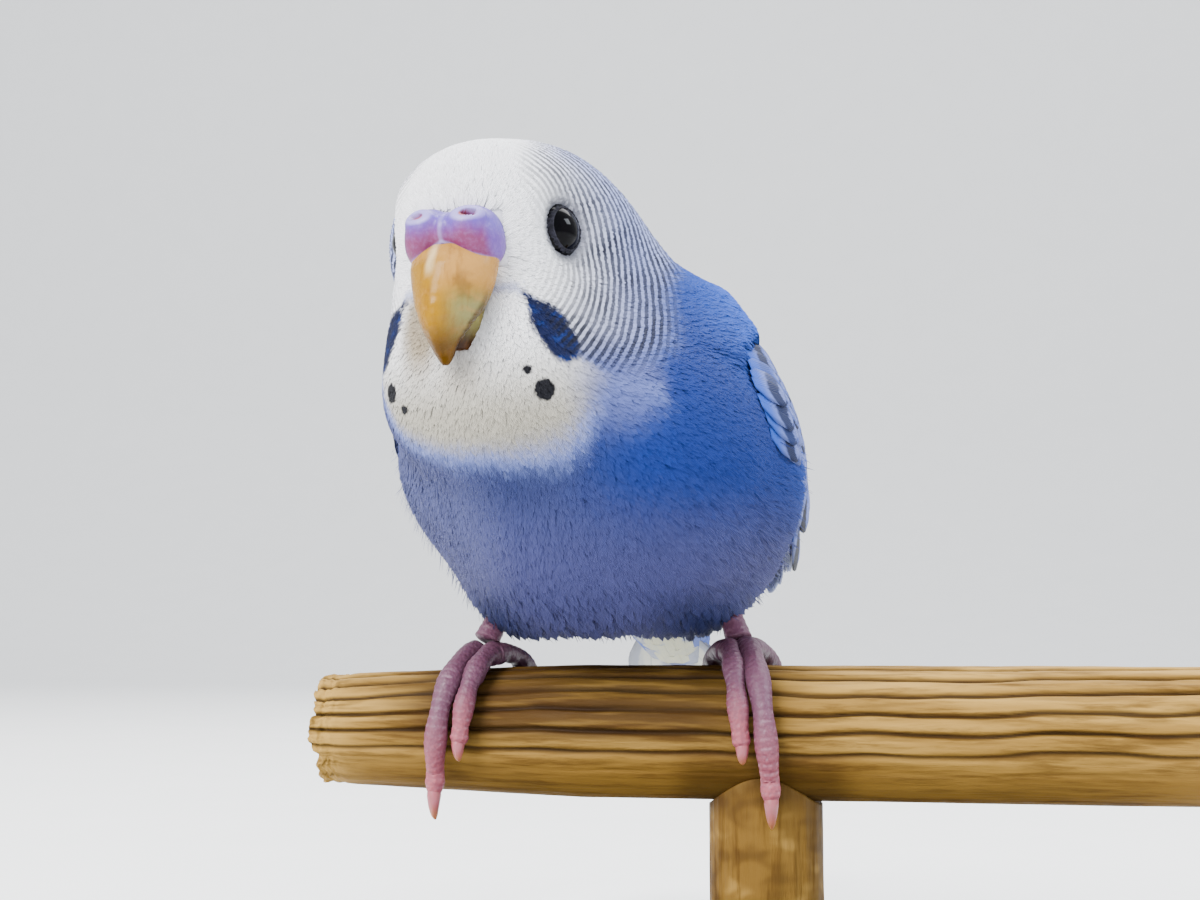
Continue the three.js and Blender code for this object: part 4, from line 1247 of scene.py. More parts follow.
# Rows of vanes on a wing: place along the bird and degrees of the first and last root, place of
# each tip and degrees of the first and last, width, lift at root and tip, tilt and breadth of the tip
WING_SETS = [
    # Primaries
    {"paint": "flight", "roots": [(33, 74), (33, 94)],
     "tips": [55, 61, 66, 70, 74, 77, 79, 78, 75, 71],
     "tip_degrees": (20, 52), "width": 5.2, "lifts": (-1.9, -1.0), "tilt": 0.40, "point": 0.22},
    # Their coverts
    {"paint": "flight", "roots": [(20, 86), (22, 101)],
     "tips": [45, 44, 43, 42, 41, 40],
     "tip_degrees": (76, 95), "width": 4.6, "lifts": (-1.6, -0.35), "tilt": 0.26, "point": 0.35},
    # Secondaries
    {"paint": "flight", "roots": [(17, 36), (20, 92)],
     "tips": [60, 58.6, 57.3, 56.1, 54.9, 53.6, 52.4, 51.1, 50, 49],
     "tip_degrees": (15, 84), "width": 7.2, "lifts": (-1.3, 0.15), "tilt": 0.20, "point": 0.38},
    # Greater coverts
    {"paint": "covert", "roots": [(10, 40), (13, 97)],
     "tips": [33, 32.4, 31.8, 31.2, 30.6, 30, 29.3, 28.6, 27.8, 27],
     "tip_degrees": (27, 100), "width": 6.6, "lifts": (-1.1, 0.62), "tilt": 0.17, "point": 0.2},
    # Median coverts
    {"paint": "covert", "roots": [(4, 46), (6, 97)],
     "tips": [19.5, 19.1, 18.7, 18.3, 17.9, 17.5, 17.1, 16.7, 16.3, 15.8, 15.4, 15],
     "tip_degrees": (36, 101), "width": 5.6, "lifts": (-0.8, 0.82), "tilt": 0.15, "point": 0.2},
]
# Foremost place of each wing's front edge, by side
WING_BEND = {1: -14.0, -1: -5.0}


def bend_back(degrees):
    """How far the wing's rounded front edge lies behind its foremost place"""
    return np.interp(degrees, [66, 76, 88, 98, 110, 120], [7.5, 3.6, 1.0, 0.0, 1.6, 5.0])


def long_rows(rng, add):
    """Flight feathers and the rows of coverts over their roots"""
    for row in WING_SETS:
        shape = {key: row[key] for key in ("lifts", "tilt", "point")}
        for i, tip_y in enumerate(row["tips"]):
            s = i / (len(row["tips"]) - 1)
            (y0, d0), (y1, d1) = row["roots"]
            root = (lerp(y0, y1, s), lerp(d0, d1, s))
            tip = (tip_y + rng.normal(0, 0.25), lerp(*row["tip_degrees"], s) + rng.normal(0, 0.4))
            add(row["paint"], root, tip, width=row["width"] * rng.uniform(0.95, 1.05), **shape)
    for i in range(3):
        add("flight", (17 + 2 * i, 101 + i), (31 + 2 * i, 101 - 2 * i), width=3.6,
            lifts=(-1.2, 0.1 - 0.2 * i), tilt=0.2, point=0.3)


def small_coverts(side, rng, add):
    """Rows of small round coverts, from the hindmost to the wing's front edge"""
    count = 12 if side > 0 else 8
    for k in range(count):
        f = k / (count - 1)
        y = lerp(WING_BEND[side], 9.0, (1 - f) ** 1.15)
        low = max(core_top(y + 5) - 3, mantle_low(y + 3) - 3)
        if side > 0:
            high = np.interp(y, [-14, -10, -2, 9], [110, 114, 114, 105])
        else:
            high = np.interp(y, [-6, 2, 9], [92, 100, 105])
        across = max(int((high - low) / lerp(6.2, 3.9, f)), 2)
        for i in range(across):
            s = (i + 0.5 * (k % 2)) / across
            degrees = lerp(low, high, s) + rng.normal(0, 0.6)
            place = y + f * bend_back(degrees) + rng.normal(0, 0.2)
            reach = lerp(7.2, 3.7, f) * rng.uniform(0.95, 1.06)
            add("covert", (place, degrees), (place + reach, degrees - 1.0),
                width=0.72 * reach * rng.uniform(0.9, 1.1), lifts=(lerp(-0.2, -0.8, f), 0.4 + 0.4 * f),
                tilt=0.1, point=0.2, thickness=0.07, arch=0.04,
                blue=0.3 * float(smooth(0.6, 1.0, f)) * rng.uniform(0.2, 1.0))


def wing_rows(side, rng):
    """All vanes of one wing, by the pattern that they carry"""
    sets = {"flight": [], "covert": []}

    def add(kind, root, tip, blue=0.0, **shape):
        points, local = wing_vane(side, root, tip, **shape)
        sets[kind].append({"points": points, "local": local, "length": abs(tip[0] - root[0]),
                           "chance": rng.random(), "blue": blue})

    long_rows(rng, add)
    small_coverts(side, rng, add)
    return sets


def wing_base(side, name, material):
    """Thin shell under the vanes, so that nothing shows between them"""
    rows, columns = 24, 16
    top, low = [], []
    for i in range(rows):
        t = i / (rows - 1)
        y = lerp(WING_FRONT, CORE_END, t)
        narrow = math.sqrt(min(max(t / 0.3, 0.08), 1))
        middle = (core_top(y) + core_bottom(y)) / 2
        span = (core_bottom(y) - core_top(y)) / 2 * narrow
        degrees = middle + span * np.linspace(-1, 1, columns)
        ys = np.full(columns, y)
        top.append(wing_point(side, ys, degrees, -0.45))
        low.append(wing_point(side, ys, degrees, -1.9 - 1.2 * (1 - t))[::-1])
    rings = np.concatenate([np.array(top), np.array(low)], 1)
    return tube_object(name, rings, material, "wing_plumage")


def shell_look():
    """Dull grey blue that shows through between the vanes"""
    look = Look("wing_shell", Roughness=0.8)
    look.colour(look.mix(look.noise(700.0, 3.0), srgb(50, 58, 88), srgb(84, 96, 136)))
    return look.material


def build_wings():
    flight = vane_look("flight_feather", flight_paint)
    covert = vane_look("covert_feather", covert_paint, 0.6)
    shell = shell_look()
    for side, name in ((1, "left"), (-1, "right")):
        rng = np.random.default_rng(SEED + 7)
        sets = wing_rows(side, rng)
        flip = side > 0
        flights = join_vanes(f"wing_{name}_flight", sets["flight"], flight, "wing_plumage", flip)
        join_vanes(f"wing_{name}_coverts", sets["covert"], covert, "wing_plumage", flip)
        wing_base(side, f"wing_{name}_shell", shell)
        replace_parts(flights, f"wing_{name}")


# Tail: graduated vanes in pairs, the middle pair longest and on top

def tail_point(x, along, lift):
    """Place on the tail, or at a lift over it"""
    slope = math.radians(TAIL_SLOPE)
    return np.stack([
        x,
        TAIL_ROOT[1] + along * math.cos(slope) + lift * math.sin(slope),
        TAIL_ROOT[2] - along * math.sin(slope) + lift * math.cos(slope),
    ], -1)


def tail_vanes(side, rng):
    """Vanes of one side of the tail, the middle one first"""
    vanes = []
    for i, length in enumerate(TAIL_LENGTHS):
        lower = 0.4 if i == 0 and side < 0 else 0.0
        level = 1.9 - 0.8 * i - lower
        half, middle, point = (2.9, 1.4, 0.08) if i == 0 else (3.3, 1.9 + 0.45 * i, 0.2)

        def place(t, e, lift):
            across = middle * np.minimum(1, 0.5 + t) + e * half
            rise = level - 0.12 * across + 0.15 * (1 - e * e) + lift
            return tail_point(side * across, lerp(5, length, t), rise)
        points, local = vane_mesh(place, 0.3, point)
        vanes.append({"points": points, "local": local, "length": length, "blue": 0.0,
                      "chance": 0.05 if i == 0 else rng.uniform(0.75, 1.0)})
    return vanes


def build_tail():
    rng = np.random.default_rng(SEED + 9)
    right, left = (tail_vanes(side, rng) for side in (-1, 1))
    look = vane_look("tail_feather", tail_paint)
    piece = join_vanes("tail_left", left, look, "tail_plumage", False)
    join_vanes("tail_right", right, look, "tail_plumage", True)
    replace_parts(piece, "tail")
    angles = angles_round(28)
    along, wide, tall = (TAIL_CORE[:, k][:, None] for k in range(3))
    rings = tail_point(wide * np.cos(angles), along + 0 * angles, tall * np.sin(angles) - 0.3)
    tube_object("tail_root", rings, shell_look(), "tail_plumage")
    build_tail_coverts(rng)


# Core of the tail: place along it, half of its width and half of its height
TAIL_CORE = np.array([[0, 5.8, 4.0], [6, 5.4, 3.5], [14, 4.7, 2.9], [22, 4.0, 2.2], [29, 2.4, 0.9]])


def tail_covert_paint(look, vane):
    """Soft pale feather, to be turned blue above and at the sides"""
    base = look.mix(look.span(vane.side, 0.3, 1.0), srgb(186, 184, 146), srgb(112, 126, 160))
    return look.mix(look.times(vane.split, 0.4), base, srgb(98, 112, 156))


def build_tail_coverts(rng):
    """Feathers that close over the tail's root in three rows, above and below"""
    vanes = []
    for row in range(3):
        for i in range(14):
            middle = 2 * math.pi * (i + 0.5 * (row % 2)) / 14
            start = -8.0 + 6.0 * row + rng.uniform(-0.7, 0.7)
            length = rng.uniform(11.5, 16.0)

            def place(t, e, lift):
                along = start + length * t
                wide = np.interp(along, TAIL_CORE[:, 0], TAIL_CORE[:, 1])
                tall = np.interp(along, TAIL_CORE[:, 0], TAIL_CORE[:, 2])
                turn = middle + e * 2.9 / (wide + tall) * 1.6
                rise = lerp(-1.0, 0.45, np.minimum(2 * t, 1)) + 0.12 * (1 - e * e) + lift
                return tail_point((wide + rise) * np.cos(turn), along,
                                  (tall + rise) * np.sin(turn) - 0.3)
            points, local = vane_mesh(place, 0.12, 0.06)
            blue = float(smooth(-0.95, -0.6, np.array(math.sin(middle)))) * rng.uniform(0.85, 0.98)
            vanes.append({"points": points, "local": local, "length": length,
                          "chance": rng.random(), "blue": blue})
    look = vane_look("tail_covert", tail_covert_paint, 0.7)
    join_vanes("tail_coverts", vanes, look, "blue_plumage", False)


# Face: cere, bill, eyes and lids

def star_mesh(centre, field, rows, columns):
    """Closed surface round a centre from which all of it can be seen; its pole points forward"""
    polar = np.linspace(0.02, np.pi - 0.02, rows)
    turn = angles_round(columns)
    polar, turn = np.meshgrid(polar, turn, indexing="ij")
    directions = np.stack([np.sin(polar) * np.cos(turn), -np.cos(polar),
                           np.sin(polar) * np.sin(turn)], -1)
    origins = np.broadcast_to(np.array(centre, float), directions.shape)
    r = reach_out(origins, directions, field, 60)
    return origins + r[..., None] * directions


NOSTRIL = np.array([2.5, -15.1, 0.75])
NOSTRIL_AXIS = unit(np.array([0.25, -0.85, 0.46]))


def cere_field(h):
    """Two bulging lobes with a groove between them, over the root of the bill"""
    both = mirrored(h)
    d = blob(both, [2.2, -12.4, -0.5], [2.45, 3.5, 2.5])
    d = blend(d, blob(both, [2.9, -12.2, -1.9], [1.8, 2.6, 1.9]), 1.0)
    d = blend(d, blob(h, [0, -12.6, -0.6], [1.6, 3.1, 2.1]), 0.7)
    q = both - NOSTRIL
    depth = q @ NOSTRIL_AXIS
    level = q - depth[..., None] * NOSTRIL_AXIS
    off = np.hypot(level[..., 0] * 0.62, level[..., 2] * 1.15)
    rim = np.hypot(off - 0.62, depth + 0.28) - 0.34
    d = blend(d, rim, 0.6)
    hole = np.hypot(off / 0.36, (depth + 0.1) / 0.9) - 1
    return carve(d, hole * 0.36, 0.12)


MAUVE = rgb(104, 36, 80)
PERIWINKLE = rgb(84, 62, 156)
CERE_PALE = rgb(156, 148, 206)
NOSTRIL_RED = rgb(140, 52, 34)
BILL_OCHRE = rgb(136, 97, 0)
BILL_CREAM = rgb(162, 118, 58)
BILL_OLIVE = rgb(118, 112, 66)
# Pale colour of the painted highlight on the bill's ridge
BILL_HIGHLIGHT = rgb(226, 204, 160)
BILL_BROWN = rgb(42, 21, 6)


def build_cere():
    grid = star_mesh([0, -12.0, -0.8], cere_field, 130, 180)
    piece = tube_object("cere_skin", from_head(grid), cere_look(), "cere_skin")
    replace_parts(piece, "cere")
    both = mirrored(grid)
    x, z = both[..., 0], grid[..., 2]
    q = both - NOSTRIL
    off = np.hypot(q[..., 0] * 0.62, q[..., 2] * 1.15)
    lower = cere_edge(x)
    give_tint(piece, paint(
        MAUVE, grid.shape,
        (smooth(-1.7, 0.6, z + 0.25 * value_noise(grid[..., 0] * 2)), PERIWINKLE),
        (smooth(0.35, 0.05, x) * 0.3, CERE_PALE),
        (smooth(3.9, 4.6, x) * 0.7, PERIWINKLE),
        (smooth(1.15, 0.7, off) * 0.7, CERE_PALE),
        (smooth(0.46, 0.34, off), NOSTRIL_RED),
        (smooth(lower + 0.42, lower + 0.15, z) * 0.7, CERE_PALE),
        (smooth(lower + 0.12, lower - 0.05, z) * 0.8, BILL_BROWN)))


def cere_edge(x):
    """Height of the cere's lower edge, highest at the middle"""
    return np.interp(x, [0, 1, 2, 3, 4, 4.6], [-1.9, -2.2, -2.8, -3.2, -3.4, -3.4])


# Upper bill from its root to its tip: height, half of its width, and how far forward its cutting
# edge, its ridge and its back lie
BILL_STATIONS = {
    "height": [-1.2, -2.5, -3.8, -5.0, -6.1, -7.3, -8.5, -9.8, -11.0, -12.0, -12.7, -13.1],
    "half": [4.1, 4.35, 4.3, 4.05, 3.7, 3.25, 2.65, 1.95, 1.35, 0.95, 0.6, 0.3],
    "edge": [11.4, 12.2, 12.5, 12.65, 12.95, 13.35, 13.8, 14.3, 14.3, 14.1, 14.0, 14.1],
    "ridge": [14.2, 15.3, 16.0, 16.35, 16.6, 16.85, 17.0, 16.9, 16.4, 15.7, 15.0, 14.5],
    "back": [8.5, 9.0, 9.4, 9.6, 9.8, 10.4, 11.6, 13.0, 13.5, 13.6, 13.7, 13.9],
}


def eased(heights, key):
    """Values of a bill measure at given heights, rounded between its stations"""
    values = np.interp(heights, BILL_STATIONS["height"][::-1], BILL_STATIONS[key][::-1])
    for _ in range(3):
        values[1:-1] = (values[:-2] + values[1:-1] * 2 + values[2:]) / 4
    return values[:, None]


def bill_rings(heights, sides):
    """Rings of the upper bill, ridged in front, and how far round to the front each point lies"""
    angles = angles_round(sides)[None, :]
    half, edge, ridge, back = (eased(heights, key) for key in ("half", "edge", "ridge", "back"))
    front = np.maximum(np.sin(angles), 0)
    rear = np.maximum(-np.sin(angles), 0)
    wide = half * np.cos(angles) * (1 - 0.10 * front ** 2)
    forward = edge + (ridge - edge) * (front + 0.06 * front ** 8) - (edge - back) * rear
    rings = np.stack([wide, -forward, heights[:, None] + 0 * forward], -1)
    return rings, front + 0 * forward


def upper_bill_colour(grid, front):
    x, z = grid[..., 0], grid[..., 2]
    flecks = value_noise(x * 1.9, z * 1.6, seed=3)
    # Pale streak down the front of the ridge: a painted highlight.
    ridge_highlight = smooth(0.75, 0.1, np.abs(x + 0.7)) * smooth(-5.6, -4.0, z) * front ** 2
    stain = np.hypot((x - 2.3) / 0.8, (z + 6.0) / 1.5) + 0.45 * value_noise(x * 2.4, z * 2.0, seed=11)
    edge = smooth(0.22, 0.02, front) * smooth(-5.0, -8.0, z)
    return paint(
        BILL_OCHRE, grid.shape,
        (smooth(-8.0, -4.6, z) * smooth(-0.6, 1.4, x), BILL_CREAM),
        (smooth(-4.0, -2.8, z) * 0.7, BILL_CREAM),
        (smooth(0.4, 2.4, np.abs(x)) * smooth(-5.5, -8.0, z) * (x > 0), BILL_OLIVE),
        (smooth(0.25, 0.9, flecks) * smooth(-4.0, -6.0, z) * 0.3, BILL_CREAM),
        (0.5 * ridge_highlight, BILL_HIGHLIGHT),
        (smooth(1.2, 0.2, stain) * 0.4, BILL_BROWN),
        (smooth(-8.6, -12.0, z) * 0.8, BILL_BROWN),
        (edge * 0.75, BILL_BROWN))


def build_upper_bill(look):
    grid, front = bill_rings(np.linspace(-1.2, -13.1, 90), 96)
    z = grid[..., 2]
    tilt = 0.55 * smooth(-1.0, -7.0, z) * smooth(-13.0, -8.0, z)
    grid[..., 2] -= tilt * (1 - front) * 0.8
    grow = 0.03 * np.sin(z * 5.5 + 0.8 * front) * smooth(-4, -8, z) * smooth(-12.5, -11, z)
    notch = 0.35 * value_noise(z * 2.2, seed=5) * smooth(-7.0, -8.6, z) * smooth(-12.4, -11.0, z)
    grid[..., 1] -= grow * front
    grid[..., 0] *= 1 + 0.25 * notch * smooth(0.3, 0.0, front)
    piece = tube_object("bill_upper_horn", from_head(grid), look, "bill_horn")
    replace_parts(piece, "bill_upper")
    give_tint(piece, upper_bill_colour(grid, front))


def build_lower_bill(look):
    t = np.linspace(0, 1, 30)[:, None]
    angles = angles_round(48)[None, :]
    half, deep = 2.3 - 1.1 * t * t, 2.3 - 1.0 * t * t
    grid = np.stack([half * np.cos(angles), -10.9 - 0.6 * t - deep * np.sin(angles),
                     -7.2 - 4.2 * t + 0 * angles], -1)
    piece = tube_object("bill_lower_horn", from_head(grid), look, "bill_horn")
    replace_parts(piece, "bill_lower")
    give_tint(piece, paint(BILL_OLIVE, grid.shape, (smooth(-8.0, -11.0, grid[..., 2]), BILL_BROWN)))


def build_bill():
    look = bill_look()
    build_upper_bill(look)
    build_lower_bill(look)


def axes_round(axis):
    """An axis and two directions across it, all of length one"""
    axis = unit(np.array(axis, float))
    side = unit(np.cross(axis, [0, 0, 1.0]))
    return axis, side, np.cross(side, axis)


def turned_rings(profile, centre, axis, columns=64):
    """Rings of a turned shape: profile is pairs of radius and place along the axis"""
    axis, side, up = axes_round(axis)
    angles = angles_round(columns)
    ring = np.cos(angles)[:, None] * side + np.sin(angles)[:, None] * up
    return np.array([centre + axis * place + ring * radius for radius, place in profile])


# How much further out and forward the right eye lies than the left
FAR_EYE_SHIFT = np.array([-0.9, -0.6, 0.0])


def build_eyes():
    ball, skin = eye_look(), lid_look()
    for sign, name in ((1, "left"), (-1, "right")):
        flip = np.array([sign, 1, 1])
        centre, axis = EYE_CENTRE * flip, EYE_AXIS * flip
        centre = centre + (FAR_EYE_SHIFT if sign < 0 else 0)
        profile = []
        for a in np.linspace(0.03, np.pi - 0.03, 48):
            bulge = 0.22 * smooth(1.0, 0.0, np.array(a)) * math.cos(a)
            profile.append((EYE_RADIUS * math.sin(a), EYE_RADIUS * math.cos(a) + bulge))
        rings = turned_rings(profile, centre, axis)
        piece = tube_object(f"eye_{name}_ball", from_head(rings), ball, "eye")
        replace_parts(piece, f"eye_{name}")
        lid_ring(name, centre, axis, skin)


# Radius and place along the eye's axis round the rim's section
LID_PROFILE = [(1.98, 2.64), (2.04, 2.72), (2.12, 2.72), (2.20, 2.60), (2.30, 2.40), (2.42, 2.12),
               (2.52, 1.85), (2.4, 1.6), (2.2, 1.8), (2.02, 2.2)]


def lid_ring(name, centre, axis, skin):
    """Bare rim of the lids: a low ring with small beads, a little pointed fore and aft"""
    columns = 160
    axis, side, up = axes_round(axis)
    a = angles_round(columns)
    point = 0.10 * np.abs(np.cos(a)) ** 6
    beads = 0.025 * np.sin(34 * a) + 0.02 * np.sin(13 * a)
    rings = []
    for k, (radius, lift) in enumerate(LID_PROFILE):
        bead = beads * (1 if 1 <= k <= 4 else 0)
        r = radius + point + bead
        rings.append(centre + axis * (lift + bead)[:, None]
                     + (np.cos(a) * r)[:, None] * side + (np.sin(a) * r)[:, None] * up)
    faces = ring_faces(len(LID_PROFILE), columns)
    points = from_head(np.array(rings)).reshape(-1, 3)
    make_object(f"eyelid_{name}", points, faces, skin, "white_plumage")


def ring_faces(rows, columns):
    i, j = np.meshgrid(np.arange(rows), np.arange(columns), indexing="ij")
    k, m = (i + 1) % rows, (j + 1) % columns
    a, b, c, d = i * columns + j, i * columns + m, k * columns + j, k * columns + m
    return np.stack([a, b, d, a, d, c], -1).reshape(-1, 3)


# Feet, legs and claws

# Outer and inner front toe, inner and outer hind toe: where each starts and ends across the foot,
# how far it bows, degrees round the bar at its end, girth, and length of its bent end with the claw
TOES = [
    {"start": 0.9, "end": 3.8, "spread": 0.5, "stop": 119, "girth": 1.2, "length": 4.9},
    {"start": -1.0, "end": 1.0, "spread": 0.1, "stop": 88, "girth": 1.12, "length": 3.0},
    {"start": -1.2, "end": -4.4, "spread": -0.8, "stop": -96, "girth": 1.05, "length": 3.0},
    {"start": 1.0, "end": 4.0, "spread": 0.8, "stop": -112, "girth": 1.15, "length": 3.6},
]
TOE_ROOT = 8.0
TOE_BENT = 0.86
TOE_DROP = 0.52
TOE_LIFT = 0.32
PAD_RADII = [2.4, 2.9, 1.35]
FOOT_MAUVE = rgb(88, 53, 72)
FOOT_PINK = rgb(148, 76, 86)
# Dark colour of the painted shade on the feet
PAINTED_FOOT_SHADE = rgb(52, 30, 46)
SCALE_PALE = rgb(176, 146, 160)
CLAW_OCHRE = rgb(176, 116, 72)
SCUTE_LENGTH = 0.82
LEG_TOP = {"left": [11.6, 4.5, 11.0], "right": [-9.6, 4.5, 11.0]}


def perch_radius(x):
    """Radius of the bar, thinner towards its chewed end"""
    return lerp(PERCH_RADIUS, PERCH_END_RADIUS, np.clip((-2 - x) / 28, 0, 1))


def perch_wrap(x, degrees, lift):
    """Place on the bar, degrees forward from its top, or at a lift over it"""
    angle = np.radians(degrees)
    radius = perch_radius(x) + lift
    return np.stack([x, -radius * np.sin(angle), -PERCH_RADIUS + radius * np.cos(angle)], -1)


def curve_frames(line, outward):
    """Directions outward and across at each point of a line"""
    along = unit(np.gradient(line, axis=0))
    out = unit(outward - along * np.sum(outward * along, -1, keepdims=True))
    return out, np.cross(along, out)


def scaly_tube(line, outward, radii, sides, scutes, pads, depth=0.085):
    """Tube with overlapping bands on its outer side and soft pads on its inner side"""
    out, across = curve_frames(line, outward)
    run = run_along(line)
    angles = angles_round(sides)
    facing = np.cos(angles)[None, :]
    band = (run[:, None] / scutes + 0.12 * np.abs(np.sin(angles))[None, :]) % 1.0
    step = depth * (1.0 - band) * smooth(-0.35, 0.35, facing) - depth * 0.5
    pad = 0.10 * np.sin(2 * np.pi * run[:, None] / pads) * smooth(0.0, -0.7, facing)
    r = radii[:, None] + step + pad
    ring = out[:, None] * np.cos(angles)[None, :, None] + across[:, None] * np.sin(angles)[None, :, None]
    return line[:, None] + ring * r[..., None], facing + 0 * r


def toe_line(toe, x, t):
    """Middle line of a toe round the bar, its last part bent down"""
    bend = np.minimum(t / TOE_BENT, 1)
    line = perch_wrap(x, lerp(TOE_ROOT, toe["stop"], bend), TOE_LIFT + 1.15 * toe["girth"])
    line[:, 2] -= np.maximum(t - TOE_BENT, 0) / (1 - TOE_BENT) * TOE_DROP * toe["length"]
    return line


def build_toe(label, k, x0, out_sign, toe, skin):
    t = np.linspace(0, 1, 90)
    x = x0 + out_sign * (lerp(toe["start"], toe["end"], t ** 0.8) + toe["spread"] * np.sin(np.pi * t))
    line = toe_line(toe, x, t)
    middle = np.stack([x, 0 * x, 0 * x - PERCH_RADIUS], -1)
    joint = 0.09 * np.cos(2 * np.pi * 3 * t)
    taper = 1.08 - 0.22 * t + joint
    radii = toe["girth"] * taper * np.sqrt(np.clip((1.02 - t) / 0.10, 0.05, 1))
    rings, facing = scaly_tube(line, line - middle, radii, 36, SCUTE_LENGTH, 2.4)
    piece = tube_object(f"toe_{label}", rings, skin, "foot_skin")
    run = run_along(line)
    band = (run[:, None] / SCUTE_LENGTH + 0.12 * np.sqrt(np.clip(1 - facing ** 2, 0, 1))) % 1.0
    scale = smooth(0.66, 0.98, band) * smooth(-0.3, 0.3, facing)
    scale = scale * smooth(-0.5, 0.8, value_noise(line[:, :1] * 1.1, facing * 2.2, seed=k))
    give_tint(piece, paint(
        FOOT_MAUVE, rings.shape,
        (smooth(0.45, 0.95, t)[:, None], FOOT_PINK),
        # Inner side of each toe, against the bar: painted shade.
        (smooth(0.2, -0.6, facing) * 0.6, PAINTED_FOOT_SHADE),
        (scale * 0.4, SCALE_PALE),
        # Roots of the toes, under the body: painted shade.
        (smooth(0.35, 0.0, t)[:, None] * 0.5, PAINTED_FOOT_SHADE)))


def build_pad(name, x0, skin):
    """Sole of the foot, on top of the bar"""
    pad = star_mesh([0, 0, 0], lambda p: blob(p, [0, 0, 0], [r - 0.05 for r in PAD_RADII]), 40, 60)
    bumps = 0.05 * np.sin(pad[..., 0] * 7) * np.sin(pad[..., 1] * 7)
    height = perch_radius(x0) - PERCH_RADIUS + TOE_LIFT + PAD_RADII[2]
    pad = pad * (1 + bumps[..., None]) + np.array([x0, -0.6, height])
    piece = tube_object(f"foot_{name}_pad", pad, skin, "foot_skin")
    give_tint(piece, paint(FOOT_MAUVE, pad.shape))
    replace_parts(piece, f"foot_{name}")


def cubic_weights(t):
    """Weights of four points on a smooth curve through the first and last of them"""
    return [(1 - t) ** 3, 3 * t * (1 - t) ** 2, 3 * t * t * (1 - t), t ** 3]


def build_claw(label, x0, out_sign, toe, horn):
    sign = 1 if toe["stop"] > 0 else -1
    girth, length = toe["girth"], toe["length"]
    x = np.array(x0 + out_sign * toe["end"])
    toe_end = perch_wrap(x, float(toe["stop"]), TOE_LIFT + 1.15 * girth)
    toe_end[2] -= TOE_DROP * length
    drop = -0.5 * length * (1 - TOE_DROP) - 0.3
    steps = [(0.1, 1.1), (-0.3, 0.0), (-0.45, drop), (0.45, -length * (1 - TOE_DROP))]
    corners = [toe_end + np.array([0, back * sign, rise]) for back, rise in steps]
    t = np.linspace(0, 1, 30)[:, None]
    line = sum(c * w for c, w in zip(corners, cubic_weights(t)))
    radii = girth * np.interp(t[:, 0], [0, 0.3, 0.6, 0.85, 1], [0.60, 0.62, 0.47, 0.30, 0.12])
    outward = line - np.array([x, 0, -PERCH_RADIUS])
    rings, _ = scaly_tube(line, outward, radii, 24, 50.0, 50.0, 0.0)
    piece = tube_object(f"claw_{label}", rings, horn, "foot_skin")
    give_tint(piece, paint(FOOT_PINK, rings.shape, (smooth(0.45, 1.0, t), CLAW_OCHRE)))


def build_leg(name, x0, skin):
    t = np.linspace(0, 1, 60)
    foot = np.array([x0, 0.2, 2.6])
    line = foot + (np.array(LEG_TOP[name]) - foot) * t[:, None]
    radii = np.interp(t, [0, 0.25, 0.7, 1], [1.45, 1.25, 1.4, 1.7])
    rings, facing = scaly_tube(line, np.broadcast_to([0.0, -1, 0.2], line.shape), radii, 32, 0.9, 1.0)
    piece = tube_object(f"leg_{name}_shank", rings, skin, "foot_skin")
    # Back of the leg, under the body: painted shade.
    give_tint(piece, paint(FOOT_MAUVE, rings.shape, (smooth(0.2, -0.6, facing) * 0.6, PAINTED_FOOT_SHADE)))
    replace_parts(piece, f"leg_{name}")


def build_feet():
    skin, horn = foot_look(), claw_look()
    for name, out_sign in (("left", 1), ("right", -1)):
        x0 = FOOT_SPOTS[name]
        for k, toe in enumerate(TOES):
            build_toe(f"{name}_{k + 1}", k, x0, out_sign, toe, skin)
            build_claw(f"{name}_{k + 1}", x0, out_sign, toe, horn)
        build_pad(name, x0, skin)
        build_leg(name, x0, skin)


# Perch and stand

WOOD_TAN = rgb(114, 84, 32)
WOOD_PALE = rgb(166, 131, 64)
# Dark brown for real stains on the wood and for painted shade on it
WOOD_STAIN_AND_SHADE = rgb(58, 37, 8)
WOOD_DARK = rgb(34, 19, 6)
BASE_ROUND = 1.5
STAND_AXIS = [0, 0.0001, 1]


def round_noise(angles, size, *axes, seed=0):
    """Noise that closes on itself round a bar"""
    return value_noise(np.cos(angles) * size, np.sin(angles) * size, *axes, seed=seed)


def bar_places():
    """Place along the bar, closer together at its chewed end, and angles round it"""
    t = np.concatenate([np.linspace(0, 0.08, 50), np.linspace(0.082, 1, 210)])[:, None]
    return t, PERCH_START + PERCH_LENGTH * t, angles_round(288)[None, :]


def bar_grooves(x, angles):
    """How much of the upper side, the cracks' edges, the cracks and the fibres each place has"""
    upper = np.clip(1.3 + 2.2 * np.sin(angles), 0, 1)
    wander = 0.05 * value_noise(x * 0.10, seed=2) + 0.03 * round_noise(angles, 2.0, x * 0.05)
    ridge = np.abs(np.sin(10 * (angles + wander) + 0.4))
    return upper, ridge, upper * smooth(0.6, 0.05, ridge), round_noise(angles, 16.0, x * 0.12, seed=9)


def bar_rings(t, x, angles, upper, ridge, groove, fibre):
    deep = 0.75 + 0.35 * round_noise(angles, 3.0, x * 0.06, seed=6)
    r = perch_radius(x) - 0.05 - 0.55 * groove * deep
    r = r - 0.10 * upper * (1 - ridge)
    r = r + 0.06 * fibre * (0.4 + 0.6 * upper)
    chewed = smooth(5.0, 0.0, x - PERCH_START)
    bites = round_noise(angles, 2.2, x * 0.9, seed=4)
    r = r - chewed * (0.25 + 0.28 * bites + 0.12 * round_noise(angles, 7.0, x * 2.0))
    r = r * (1 - 0.05 * smooth(0.99, 1.0, t))
    broken = 0.7 * round_noise(angles, 1.6, seed=1) + 0.35 * round_noise(angles, 6.0, seed=8)
    shift = chewed ** 2 * (0.9 + broken)
    return np.stack([x + shift + 0 * r, r * np.cos(angles), r * np.sin(angles) - PERCH_RADIUS], -1)


